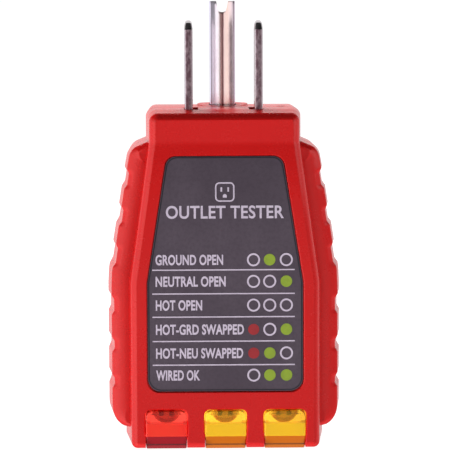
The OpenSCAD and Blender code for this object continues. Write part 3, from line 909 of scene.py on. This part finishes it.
def pin_section():
    """Section of the folded pin, clockwise from above, from its own centre.

    The sheet's two edges roll in to a seam at the front.
    """
    radius, fold, seam = PIN_RADIUS, 0.30, 0.17
    points = [(radius * math.sin(math.radians(a)), radius * math.cos(math.radians(a)))
              for a in np.linspace(0, 90, 25)]
    points += [(radius, -0.5), (radius, -0.95)]
    for degrees in np.linspace(8, 102, 12):
        angle = math.radians(degrees)
        points.append((radius - fold + fold * math.cos(angle), -1.15 - fold * math.sin(angle)))
    # Shallow roll from each rounded edge to the seam
    x0, y0 = points[-1]
    steps, start, end = 10, math.radians(15), math.radians(36)
    roll = (x0 - seam - 0.06) / (math.sin(end) - math.sin(start))
    for i in range(1, steps + 1):
        angle = start + (end - start) * i / steps
        points.append((x0 - roll * (math.sin(angle) - math.sin(start)),
                       y0 + roll * (math.cos(start) - math.cos(angle))))
    seam_y = points[-1][1]
    points += [(seam + 0.02, seam_y + 0.045), (seam - 0.02, seam_y + 0.10),
               (0.10, seam_y + 0.2), (0.04, seam_y + 0.27), (0.0, seam_y + 0.29)]
    half = np.array(points)
    return np.vstack([half, half[-2:0:-1] * np.array([-1, 1])])


def build_pin():
    section = pin_section()
    nose = PIN_TOP - 5.4            # where the straight part ends

    def top(drop_by):
        """Height of the nose: down to the rear, and rounded off beside the seam."""
        fall = 0.34 * np.maximum(0, section[:, 1] + 0.95) ** 1.9
        corner = 2.05 * (1 - np.clip(np.abs(section[:, 0]) / 1.04, 0, 1) ** 4.5)
        return PIN_TOP - np.maximum(fall, corner) - drop_by

    def ring(z, inset=0.0):
        loop = grown(section[::-1], -inset)[::-1] if inset else section
        return loop_at_z(loop + np.array([0.0, PIN_Y]), z)

    rings = [ring(z) for z in np.linspace(-5.0, nose, 8)]
    rings += [ring((1 - share) * nose + share * top(0.12)) for share in (0.35, 0.7, 0.9)]
    rings += [ring(top(0.1)), ring(top(0.03), inset=0.03), ring(top(0.0), inset=0.1)]
    pin = loft(rings, cap=False)
    fill_ends(pin, Z, 0, sides=(1, -1))
    # Collar under the plug face, open at the front, and soldering tail
    collar = rod((0, PIN_Y, -5.0), Z, 3.27, 2.42, 64)
    gap = 1.52
    cut(collar, box(-gap, gap, PIN_Y - 6, PIN_Y + 0.4, -9, 0))
    fuse(pin, collar)
    fuse(pin, box(-1.6, 1.6, PIN_Y + 0.9, PIN_Y + 1.7, -13.5, -4.0))
    tidy(pin, 1e-6)
    return shade(pin, 30)


# --------------------------------------------------------------------------
# Materials: all from nodes, in object space, in metres
# --------------------------------------------------------------------------
def rgba(colour):
    return tuple(colour) + (1.0,) * (4 - len(colour))


def darker(colour, factor):
    return tuple(c * factor for c in colour)


def srgb(*levels):
    """Linear colour from 0 to 255 levels."""
    return tuple((c / 255 / 12.92) if c / 255 <= 0.04045 else ((c / 255 + 0.055) / 1.055) ** 2.4
                 for c in levels)


class Graph:
    """Short names for building a node tree. Values may be sockets or constants."""

    def __init__(self, tree):
        self.tree = tree

    def new(self, kind, **settings):
        node = self.tree.nodes.new(kind)
        for key, value in settings.items():
            setattr(node, key, value)
        return node

    def link(self, source, target):
        self.tree.links.new(source, target)

    def put(self, socket, value):
        if isinstance(value, bpy.types.NodeSocket):
            self.link(value, socket)
        else:
            socket.default_value = value

    def surface(self, values):
        """Sets inputs of the material's main shader."""
        for name, value in values.items():
            self.put(self.tree.nodes["Principled BSDF"].inputs[name], value)

    def coord(self, scale=(1, 1, 1)):
        source = self.new("ShaderNodeTexCoord")
        mapping = self.new("ShaderNodeMapping")
        mapping.inputs["Scale"].default_value = scale
        self.link(source.outputs["Object"], mapping.inputs["Vector"])
        return mapping.outputs["Vector"]

    def texture_coord(self, kind="Object"):
        return self.new("ShaderNodeTexCoord").outputs[kind]

    def xyz(self, vector):
        node = self.new("ShaderNodeSeparateXYZ")
        self.link(vector, node.inputs[0])
        return node.outputs

    def noise(self, scale, detail=2, roughness=0.5, stretch=(1, 1, 1)):
        node = self.new("ShaderNodeTexNoise")
        node.inputs["Scale"].default_value = scale
        node.inputs["Detail"].default_value = detail
        node.inputs["Roughness"].default_value = roughness
        self.link(self.coord(stretch), node.inputs["Vector"])
        return node.outputs["Fac"]

    def math(self, operation, first, second=0.0):
        node = self.new("ShaderNodeMath", operation=operation)
        self.put(node.inputs[0], first)
        self.put(node.inputs[1], second)
        return node.outputs[0]

    def span(self, value, between=(0.3, 0.7), to=(0.0, 1.0), interpolation="SMOOTHSTEP"):
        """The value mapped from one range to another."""
        node = self.new("ShaderNodeMapRange", interpolation_type=interpolation)
        self.link(value, node.inputs["Value"])
        for name, number in zip(("From Min", "From Max", "To Min", "To Max"), between + to):
            node.inputs[name].default_value = number
        return node.outputs["Result"]

    def patches(self, scale, between=(0.3, 0.7), to=(0.0, 1.0), **noise):
        return self.span(self.noise(scale, **noise), between, to)

    def mix(self, factor, first, second, mode="MIX"):
        node = self.new("ShaderNodeMix", data_type="RGBA", blend_type=mode)
        self.put(node.inputs[0], factor)
        for socket, value in ((node.inputs[6], first), (node.inputs[7], second)):
            self.put(socket, value if isinstance(value, bpy.types.NodeSocket) else rgba(value))
        return node.outputs[2]

    def ramp(self, factor, stops):
        """Colour ramp from (position, colour) stops."""
        node = self.new("ShaderNodeValToRGB")
        elements = node.color_ramp.elements
        while len(elements) > 1:
            elements.remove(elements[-1])
        elements[0].position = stops[0][0]
        elements[0].color = rgba(stops[0][1])
        for position, colour in stops[1:]:
            elements.new(position).color = rgba(colour)
        self.link(factor, node.inputs["Fac"])
        return node.outputs["Color"]

    def bump(self, height, distance, strength=0.5, normal=None):
        node = self.new("ShaderNodeBump")
        node.inputs["Strength"].default_value = strength
        node.inputs["Distance"].default_value = distance
        self.link(height, node.inputs["Height"])
        if normal is not None:
            self.link(normal, node.inputs["Normal"])
        return node.outputs["Normal"]

    def relief(self, scale, distance, strength=0.5, normal=None, **noise):
        return self.bump(self.noise(scale, **noise), distance, strength, normal)

    def clear_to_shadows(self, colour):
        """Shadow rays pass through, tinted, instead of meeting the main shader."""
        path = self.new("ShaderNodeLightPath")
        clear = self.new("ShaderNodeBsdfTransparent")
        clear.inputs["Color"].default_value = rgba(colour)
        mix = self.new("ShaderNodeMixShader")
        self.link(path.outputs["Is Shadow Ray"], mix.inputs[0])
        self.link(self.tree.nodes["Principled BSDF"].outputs[0], mix.inputs[1])
        self.link(clear.outputs[0], mix.inputs[2])
        self.link(mix.outputs[0], self.tree.nodes["Material Output"].inputs["Surface"])


def new_material(name):
    material = bpy.data.materials.new(name)
    material.use_nodes = True
    return material, Graph(material.node_tree)


def case_plastic():
    material, nodes = new_material("moulded_red")
    deep, light, rough = (0.600, 0.0070, 0.0068), (0.635, 0.0085, 0.0082), 0.225
    colour = nodes.mix(nodes.patches(scale=38, between=(0.35, 0.65)), deep, light)
    spots = nodes.patches(scale=900, detail=3, roughness=0.55, between=(0.3, 0.8), to=(0.0, 0.16))
    colour = nodes.mix(spots, colour, darker(deep, factor=0.86))
    # The gloss is a little uneven, broadly and finely
    rubbed = nodes.patches(scale=110, detail=3, roughness=0.6, between=(0.3, 0.72),
                           to=(rough, rough + 0.07))
    fine = nodes.patches(scale=1300, roughness=0.6, to=(0.0, 0.03))
    waves = nodes.relief(scale=300, distance=0.000012, strength=0.25)
    nodes.surface({
        "Base Color": colour,
        "Roughness": nodes.math("ADD", rubbed, fine),
        "IOR": 1.50,
        "Normal": nodes.relief(scale=2200, roughness=0.6, distance=0.000004, strength=0.3,
                               normal=waves)})
    return material


def plate_grey():
    material, nodes = new_material("chart_overlay")
    broad = nodes.patches(scale=70, detail=3, roughness=0.55)
    fine = nodes.patches(scale=1500, roughness=0.6, between=(0.35, 0.75), to=(0, 0.45))
    colour = nodes.mix(broad, srgb(76, 65, 76), srgb(86, 75, 86))
    nodes.surface({
        "Base Color": nodes.mix(fine, colour, srgb(66, 56, 66)),
        "Roughness": nodes.patches(scale=260, detail=3, roughness=0.6, to=(0.42, 0.55)),
        "Normal": nodes.relief(scale=2600, roughness=0.6, distance=0.000008)})
    return material


def ink(name, colour, speckle):
    material, nodes = new_material(name)
    spots = nodes.patches(scale=900, detail=3, roughness=0.6, between=(0.35, 0.7), to=(0, 0.35))
    nodes.surface({
        "Base Color": nodes.mix(spots, colour, speckle),
        "Roughness": nodes.patches(scale=500, to=(0.44, 0.58)),
        "Normal": nodes.relief(scale=3000, distance=0.000004)})
    return material


def tinted_plastic(name, glass, solid_colour, deep, shadow):
    """Clear at the window, nearly solid below it, and deep in colour round the lower end."""
    material, nodes = new_material(name)
    flow = nodes.noise(scale=160, stretch=(1, 1, 0.5))
    z = nodes.xyz(nodes.coord())[2]
    low = nodes.span(z, between=(-0.05610, -0.05665))
    colour = nodes.mix(low, glass, solid_colour)
    colour = nodes.mix(nodes.span(flow, to=(0.0, 0.06)), colour, (0.6, 0.4, 0.1))
    colour = nodes.mix(nodes.span(z, between=(-0.05868, -0.05880)), colour, deep)
    # Painted shade: a dark line along the crease across the sloping end
    line = nodes.math("MULTIPLY", nodes.span(z, between=(-0.06015, -0.06028)),
                      nodes.span(z, between=(-0.06060, -0.06046)))
    clearness, lost_below = 0.85, 0.76
    nodes.surface({
        "Base Color": nodes.mix(line, colour, darker(deep, factor=0.35)),
        "Transmission Weight": nodes.math(
            "SUBTRACT", clearness, nodes.math("MULTIPLY", low, lost_below)),
        "IOR": 1.49,
        "Roughness": nodes.patches(scale=300, to=(0.03, 0.075)),
        "Normal": nodes.relief(scale=260, detail=1, distance=0.00002, strength=0.25)})
    nodes.clear_to_shadows(shadow)
    return material


def lamp_glass():
    material, nodes = new_material("clear_lamp_glass")
    nodes.surface({
        "Transmission Weight": 1.0,
        "IOR": 1.47,
        "Base Color": nodes.mix(nodes.patches(scale=200), (0.66, 0.50, 0.34), (0.46, 0.33, 0.22)),
        "Roughness": nodes.patches(scale=400, to=(0.02, 0.05))})
    nodes.clear_to_shadows((0.9, 0.9, 0.9))
    return material


def painted_reflection_tint(nodes, colour, rough):
    """Painted reflection on the nickel: bluish to the left, straw-coloured round the seam and pink to
    the right.
    """
    across = nodes.math("MULTIPLY", nodes.xyz(nodes.texture_coord())[0], 200.0)
    across = nodes.math("ADD", across, 0.5)     # 0 to 1 over 5 mm
    reflection_hue = nodes.ramp(across, [
        (0.02, (0.86, 0.86, 1.0)), (0.28, (0.98, 0.94, 1.0)), (0.36, (1.0, 0.95, 0.96)),
        (0.42, (0.86, 0.72, 0.68)), (0.49, (0.80, 0.62, 0.60)), (0.56, (0.66, 0.52, 0.48)),
        (0.70, (0.74, 0.59, 0.52)), (0.80, (0.92, 0.78, 0.76)), (0.98, (0.88, 0.80, 0.92))])
    return nodes.mix(1.0, colour, reflection_hue, "MULTIPLY"), rough


def sheared_edges_and_reflection(nodes, colour, rough):
    """The blades' narrow edges, facing front and rear, are duller and mottled like sheared metal;
    their darker purple colour is partly that and partly a painted dark reflection.
    """
    facing = nodes.math("ABSOLUTE", nodes.xyz(nodes.texture_coord("Normal"))[1])
    sheared = nodes.span(facing, between=(0.86, 0.97))
    mottle = nodes.patches(scale=1700, detail=3, roughness=0.65, stretch=(1, 1, 0.55),
                           between=(0.36, 0.66))
    edge_mottle_and_reflection = nodes.mix(mottle, (0.38, 0.22, 0.27), (0.80, 0.61, 0.68))
    # Painted reflection: paler towards the right-hand side of each blade, where the rounded edge
    # mirrors the right
    from_middle = nodes.math(
        "SUBTRACT", nodes.math("ABSOLUTE", nodes.xyz(nodes.texture_coord())[0]), BLADE_X * MM)
    sign = nodes.math("SIGN", nodes.xyz(nodes.texture_coord())[0])
    side = nodes.math("MULTIPLY", from_middle, sign)
    pale = nodes.span(side, between=(0.0002, 0.00072), to=(0.0, 0.75))
    edge_mottle_and_reflection = nodes.mix(pale, edge_mottle_and_reflection, (1.0, 0.84, 0.88))
    added_roughness = nodes.math("MULTIPLY", sheared, 0.16)
    return nodes.mix(sheared, colour, edge_mottle_and_reflection), nodes.math("ADD", rough, added_roughness)


def metal(name, light, dark, roughness, grain_along="z", mottle=None, finish_and_reflection=None):
    """Metal with drawn grain along one axis and faint tarnish."""
    material, nodes = new_material(name)
    stretch = {"z": (1, 1, 0.02), "y": (1, 0.02, 1)}[grain_along]
    grain = nodes.noise(scale=3150, roughness=0.6, stretch=stretch)
    colour = nodes.mix(nodes.span(grain), light, dark)
    if mottle:
        spots = nodes.patches(scale=1500, detail=3, roughness=0.65, stretch=(1, 1, 0.5),
                              between=(0.45, 0.75), to=(0, 0.2))
        colour = nodes.mix(spots, colour, mottle)
    tarnish = nodes.patches(scale=240, detail=3, roughness=0.6, between=(0.5, 0.8), to=(0, 0.35))
    tarnished = tuple(c * factor for c, factor in zip(light, (0.9, 0.8, 0.72)))
    colour = nodes.mix(tarnish, colour, tarnished)
    rough = nodes.patches(scale=600, detail=3, roughness=0.6, to=roughness)
    # The hook changes colour and roughness, and paints a reflection into the colour
    if finish_and_reflection:
        colour, rough = finish_and_reflection(nodes, colour, rough)
    drawn = nodes.bump(grain, distance=0.000006, strength=0.6)
    nodes.surface({
        "Base Color": colour,
        "Metallic": 1.0,
        "Roughness": rough,
        "Normal": nodes.relief(scale=900, distance=0.00001, strength=0.4, normal=drawn)})
    return material


def plastic(name, first, second, roughness, scale=120, glow=0.0):
    material, nodes = new_material(name)
    colour = nodes.mix(nodes.patches(scale=scale, detail=3, roughness=0.55), first, second)
    nodes.surface({
        "Base Color": colour,
        "Roughness": nodes.patches(scale=scale * 3, to=roughness),
        "IOR": 1.5,
        "Normal": nodes.relief(scale=scale * 12, distance=0.00001)})
    # Painted light: the colour glows, though the piece is no lamp
    if glow:
        nodes.surface({"Emission Color": colour, "Emission Strength": glow})
    return material


def board_laminate():
    """Green mask over glass cloth, with the cloth's weave just showing."""
    material, nodes = new_material("circuit_laminate")
    threads = []
    for direction in "XZ":
        wave = nodes.new("ShaderNodeTexWave", wave_type="BANDS", bands_direction=direction)
        wave.inputs["Scale"].default_value = 330
        wave.inputs["Distortion"].default_value = 0.6
        nodes.link(nodes.coord(), wave.inputs["Vector"])
        threads.append(wave.outputs["Fac"])
    weave = nodes.math("MULTIPLY", *threads)
    colour = nodes.mix(nodes.span(weave, between=(0.2, 0.9), to=(0.0, 0.5)),
                       (0.008, 0.085, 0.03), (0.02, 0.16, 0.06))
    clouds = nodes.patches(scale=150, between=(0.45, 0.7), to=(0, 0.4))
    nodes.surface({
        "Base Color": nodes.mix(clouds, colour, (0.006, 0.06, 0.025)),
        "Roughness": 0.35,
        "Normal": nodes.bump(weave, distance=0.00001)})
    return material


def resistor_lacquer():
    """Lacquered body with five colour bands, and tinned leads."""
    material, nodes = new_material("resistor_body")
    # Millimetres along the resistor, whose body runs from 0.6 to 7.4
    z = nodes.math("MULTIPLY", nodes.xyz(nodes.texture_coord())[2], 1000.0)
    z = nodes.math("ADD", z, 33.0)
    bands = [                       # colour, start
        (srgb(170, 120, 30), 1.3), (srgb(220, 170, 30), 2.6), (srgb(120, 40, 140), 3.6),
        (srgb(200, 120, 20), 4.6), (srgb(120, 70, 30), 5.7)]
    width, blur = 0.55, 0.03
    colour = nodes.mix(nodes.patches(scale=500, detail=3), srgb(206, 176, 126), srgb(190, 158, 108))
    for band, start in bands:
        end = start + width
        inside = nodes.math("SUBTRACT", nodes.span(z, between=(start - blur, start + blur)),
                            nodes.span(z, between=(end - blur, end + blur)))
        colour = nodes.mix(inside, colour, band)
    before_end = nodes.math("SUBTRACT", 1.0, nodes.span(z, between=(7.4, 7.44)))
    body = nodes.math("MULTIPLY", nodes.span(z, between=(0.58, 0.62)), before_end)
    nodes.surface({
        "Base Color": nodes.mix(body, (0.62, 0.61, 0.6), colour),
        "Metallic": nodes.math("SUBTRACT", 1.0, body),
        "Roughness": nodes.patches(scale=600, to=(0.25, 0.38)),
        "Normal": nodes.relief(scale=900, distance=0.00001)})
    return material


MATERIALS = {
    "red": case_plastic(),
    "plate": plate_grey(),
    "pale_ink": ink("print_pale", srgb(205, 192, 209), speckle=srgb(178, 164, 184)),
    "green_ink": ink("print_green", srgb(142, 165, 52), speckle=srgb(112, 130, 48)),
    "red_ink": ink("print_red", srgb(158, 45, 50), speckle=srgb(128, 40, 46)),
    # A dark ring of painted shade round the chart's edge, made like the inks
    "painted_edge_shade": ink("edge_shade_colour", srgb(38, 36, 44), speckle=srgb(28, 28, 34)),
    "lens_red": tinted_plastic(
        "tinted_red", glass=(1.0, 0.08, 0.06), solid_colour=(1.0, 0.028, 0.022),
        deep=(0.29, 0.008, 0.014), shadow=(1.0, 0.6, 0.55)),
    "lens_amber": tinted_plastic(
        "tinted_amber", glass=(1.0, 0.64, 0.045), solid_colour=(1.0, 0.59, 0.018),
        deep=(0.52, 0.125, 0.003), shadow=(1.0, 0.95, 0.6)),
    "glass": lamp_glass(),
    "nickel": metal("nickel_plate", (0.80, 0.74, 0.76), (0.70, 0.65, 0.67),
                    roughness=(0.16, 0.27), finish_and_reflection=sheared_edges_and_reflection),
    # The pin's colour carries a painted reflection
    "nickel_pin": metal("nickel_plate_pin", (0.96, 0.90, 0.93), (0.89, 0.83, 0.86),
                        roughness=(0.17, 0.23), finish_and_reflection=painted_reflection_tint),
    "retainer": plastic("retainer_nylon", srgb(222, 214, 196), srgb(208, 198, 178),
                        roughness=(0.45, 0.6)),
    # Painted light: the tray glows to brighten the windows from inside, though the lamps are unlit
    "tray": plastic("tray_white_painted_glow", (0.93, 0.92, 0.90), (0.89, 0.88, 0.85),
                    roughness=(0.5, 0.65), glow=0.85),
    "board": board_laminate(),
    "electrode": metal("electrode_nickel", (0.10, 0.07, 0.05), (0.06, 0.04, 0.03),
                       roughness=(0.4, 0.55)),
    "resistor": resistor_lacquer(),
    "black": plastic("insulation_black", (0.02, 0.02, 0.022), (0.03, 0.03, 0.032),
                     roughness=(0.35, 0.5), scale=300),
    "white": plastic("insulation_white", (0.75, 0.75, 0.73), (0.68, 0.68, 0.66),
                     roughness=(0.35, 0.5), scale=300),
    "green": plastic("insulation_green", (0.015, 0.16, 0.03), (0.012, 0.12, 0.025),
                     roughness=(0.35, 0.5), scale=300),
    "solder": metal("solder_bright", (0.78, 0.78, 0.8), (0.68, 0.68, 0.7),
                    roughness=(0.12, 0.3), grain_along="y"),
    "steel": metal("zinc_screw", (0.58, 0.58, 0.6), (0.46, 0.46, 0.48),
                   roughness=(0.25, 0.4), grain_along="y", mottle=(0.2, 0.2, 0.21)),
}


# --------------------------------------------------------------------------
# Assembly
# --------------------------------------------------------------------------
def place(piece, name, material, slot, *nodes):
    """Names and dresses a piece; nodes are the CAD pieces it stands in for."""
    piece.name = name
    piece.data.name = name
    piece.data.materials.clear()
    piece.data.materials.append(MATERIALS[material])
    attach(piece, "root")
    if nodes:
        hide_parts(*nodes)


place(build_front(), "front_case", "red", "case_red", "front_shell")
place(build_rear(), "rear_case", "red", "case_red", "rear_shell")
place(build_plate(), "chart_plate", "plate", "chart_grey", "label_plate")
for piece, part, material in zip(build_print(), ("pale", "green", "red", "edge_shade_ring"),
                                 ("pale_ink", "green_ink", "red_ink", "painted_edge_shade")):
    place(piece, "chart_print_" + part, material, "chart_grey")
for i, name, node, material in (
        (-1, "window_red", "lens_red", "lens_red"),
        (0, "window_amber_centre", "lens_amber_centre", "lens_amber"),
        (1, "window_amber_right", "lens_amber_right", "lens_amber")):
    place(build_lens(i), name, material, material, node)
place(build_blade(1), "hot_prong", "nickel", "prong_nickel", "hot_blade")
place(build_blade(-1), "neutral_prong", "nickel", "prong_nickel", "neutral_blade")
place(build_pin(), "ground_prong", "nickel_pin", "prong_nickel", "ground_pin")

# CAD pieces that are kept, and their materials
KEPT = {
    "blade_retainer": "retainer", "circuit_board": "board", "lamp_divider": "tray",
    "hot_wire": "black", "neutral_wire": "white", "ground_wire": "green",
    "solder_joints": "solder", "board_screws": "steel", "case_screws": "steel"}
for lamp in ("left", "centre", "right"):
    KEPT["neon_glass_" + lamp] = "glass"
    KEPT["neon_electrodes_" + lamp] = "electrode"
    KEPT["resistor_" + lamp] = "resistor"
for node, material in KEPT.items():
    for material_slot in NODES[node].material_slots:
        material_slot.material = MATERIALS[material]

# --------------------------------------------------------------------------
# Floor
# --------------------------------------------------------------------------
scene = bpy.context.scene
scene.view_settings.view_transform = "Standard"
scene.view_settings.look = "None"
scene.view_settings.exposure = 0.0
scene.view_settings.gamma = 1.0


def white_floor():
    """Pure white to the camera, and a dimmer glow to everything else."""
    glow = 0.68
    material, nodes = new_material("floor_white")
    camera_ray = nodes.new("ShaderNodeLightPath").outputs["Is Camera Ray"]
    nodes.surface({
        "Base Color": (0.14, 0.14, 0.14, 1),
        "Roughness": 0.8,
        "Specular IOR Level": 0.1,
        "Emission Color": (1, 1, 1, 1),
        "Emission Strength": nodes.span(camera_ray, between=(0, 1), to=(glow, 1.0),
                                        interpolation="LINEAR")})
    return material


floor_mesh = bpy.data.meshes.new("floor")
with editing(floor_mesh, sources=()) as work:
    bmesh.ops.create_circle(work, cap_ends=True, segments=128, radius=30.0)
floor = add_object(floor_mesh, "floor")
floor.location = (0, 0, (BOTTOM - 0.3) * MM - 0.00002)     # just under the lenses' ends
floor.data.materials.append(white_floor())
floor.visible_shadow = False        # lights below the floor's level reach the object
floor.visible_glossy = False

# --------------------------------------------------------------------------
# World: what the gloss mirrors. A white table behind the object, soft panels to
# the left and right in front of it, dark above and at the camera.
# --------------------------------------------------------------------------
GLOSS_GAIN, DIFFUSE_STRENGTH, CAMERA_STRENGTH = 0.80, 0.10, 1.05
WHITE, LAVENDER, ROSE = (1.0, 1.0, 1.0), (0.88, 0.84, 1.0), (1.0, 0.86, 0.92)
PINK, WARM = (1.0, 0.88, 0.93), (1.0, 0.88, 0.80)
RAMP_FULL = 2.0                     # strength that the ramp's full white stands for
AROUND = [      # degrees from the camera's side, positive to the right; strength; colour
    (-180, 1.05, WHITE), (-125, 1.05, WHITE), (-110, 1.25, WHITE), (-95, 1.05, LAVENDER),
    (-80, 1.55, WHITE), (-64, 2.00, WHITE), (-48, 1.90, WHITE), (-32, 1.20, WHITE),
    (-20, 0.80, WHITE), (-13, 0.36, WARM), (-7, 0.24, ROSE), (6, 0.24, ROSE),
    (13, 0.40, WHITE), (22, 0.52, WHITE), (32, 0.48, WHITE), (44, 0.24, WHITE),
    (72, 0.20, PINK), (88, 0.70, PINK), (102, 1.15, WHITE), (125, 1.05, WHITE),
    (180, 1.05, WHITE)]


def build_world():
    world = bpy.data.worlds.new("studio")
    scene.world = world
    world.use_nodes = True
    world.node_tree.nodes.clear()
    nodes = Graph(world.node_tree)

    def product(first, second):
        return nodes.math("MULTIPLY", first, second)

    def choose(test, otherwise, chosen):
        node = nodes.new("ShaderNodeMix", data_type="FLOAT")
        for i, value in ((0, test), (2, otherwise), (3, chosen)):
            nodes.put(node.inputs[i], value)
        return node.outputs[0]

    x, y, z = nodes.xyz(nodes.texture_coord("Generated"))
    # -1 to 1 round the horizon, 0 at the camera and positive to the right
    azimuth = nodes.math("DIVIDE", nodes.math("ARCTAN2", x, product(y, -1.0)), math.pi)
    panels = nodes.ramp(nodes.math("ADD", product(azimuth, 0.5), 0.5), [
        (degrees / 360.0 + 0.5, tuple(c * strength / RAMP_FULL for c in colour))
        for degrees, strength, colour in AROUND])
    front_half = nodes.span(y, between=(0.30, -0.10))
    above = product(nodes.span(z, between=(0.22, 0.62)), nodes.span(y, between=(0.70, 0.45)))
    scale = product(RAMP_FULL, nodes.math("SUBTRACT", 1.0, product(above, 0.96)))
    # Round the camera the light is stronger below the horizon
    ahead = product(nodes.span(nodes.math("ABSOLUTE", azimuth), between=(0.16, 0.07)),
                    nodes.span(y, between=(0.1, -0.1)))
    tilt = nodes.span(z, between=(-0.05, 0.10), to=(1.30, 0.10))
    change = product(ahead, nodes.math("SUBTRACT", tilt, 1.0))
    scale = product(scale, nodes.math("ADD", 1.0, change))
    # Behind the object the table darkens downwards
    below = product(nodes.span(z, between=(-0.17, -0.36)),
                    nodes.math("SUBTRACT", 1.0, front_half))
    scale = product(scale, nodes.math("SUBTRACT", 1.0, product(below, 0.7)))

    ray = nodes.new("ShaderNodeLightPath").outputs
    mirrored = nodes.math("MAXIMUM", ray["Is Glossy Ray"], ray["Is Transmission Ray"])
    strength = choose(mirrored, DIFFUSE_STRENGTH, product(scale, GLOSS_GAIN))
    background = nodes.new("ShaderNodeBackground")
    nodes.link(nodes.mix(mirrored, WHITE, panels), background.inputs["Color"])
    nodes.link(choose(ray["Is Camera Ray"], strength, CAMERA_STRENGTH),
               background.inputs["Strength"])
    output = nodes.new("ShaderNodeOutputWorld")
    nodes.link(background.outputs[0], output.inputs["Surface"])


build_world()


# --------------------------------------------------------------------------
# Lights (places in millimetres, sizes in metres) and camera
# --------------------------------------------------------------------------
def area(name, at, size, power, target=(0, 0, -25), glossy=False):
    light = bpy.data.lights.new(name, "AREA")
    light.shape = "RECTANGLE"
    light.size, light.size_y = size
    light.energy = power
    lamp = add_object(light, name)
    lamp.location = [c * MM for c in at]
    lamp.rotation_mode = "QUATERNION"
    towards = Vector([c * MM for c in target]) - lamp.location
    lamp.rotation_quaternion = towards.to_track_quat("-Z", "Y")
    lamp.visible_glossy = glossy
    lamp.visible_camera = False
    lamp.visible_transmission = False
    return lamp


area("key", at=(-620, -210, -230), size=(0.30, 0.30), power=4.9)
area("fill", at=(500, -290, -450), size=(0.34, 0.34), power=3.4)
area("back", at=(-60, 480, 520), size=(0.6, 0.4), power=9.8)
# A small white card beside the prongs, seen only in their gloss
card = area("prong_card", at=(58, -29, 7.5), size=(0.025, 0.033), power=0.0029,
            target=(0, 10, 7.5), glossy=True)
card.visible_diffuse = False

# Camera: degrees round and above the target, roll, and distance in millimetres
AZIMUTH, ELEVATION, ROLL, DISTANCE = -1.07, 5.11, -0.22, 500.0
TARGET = Vector((0.26, 4.0, -21.71)) * MM
camera_data = bpy.data.cameras.new("camera")
camera = add_object(camera_data, "camera")
camera_data.sensor_width = 36.0
camera_data.lens = 217.0
camera_data.clip_start, camera_data.clip_end = 0.01, 200.0
azimuth, elevation = math.radians(AZIMUTH), math.radians(ELEVATION)
backwards = Vector((math.sin(azimuth) * math.cos(elevation),
                    -math.cos(azimuth) * math.cos(elevation), math.sin(elevation)))
camera.location = TARGET + backwards * DISTANCE * MM
camera.rotation_mode = "QUATERNION"
roll = Matrix.Rotation(math.radians(ROLL), 4, "Z").to_quaternion()
camera.rotation_quaternion = (-backwards).to_track_quat("-Z", "Y") @ roll
scene.camera = camera
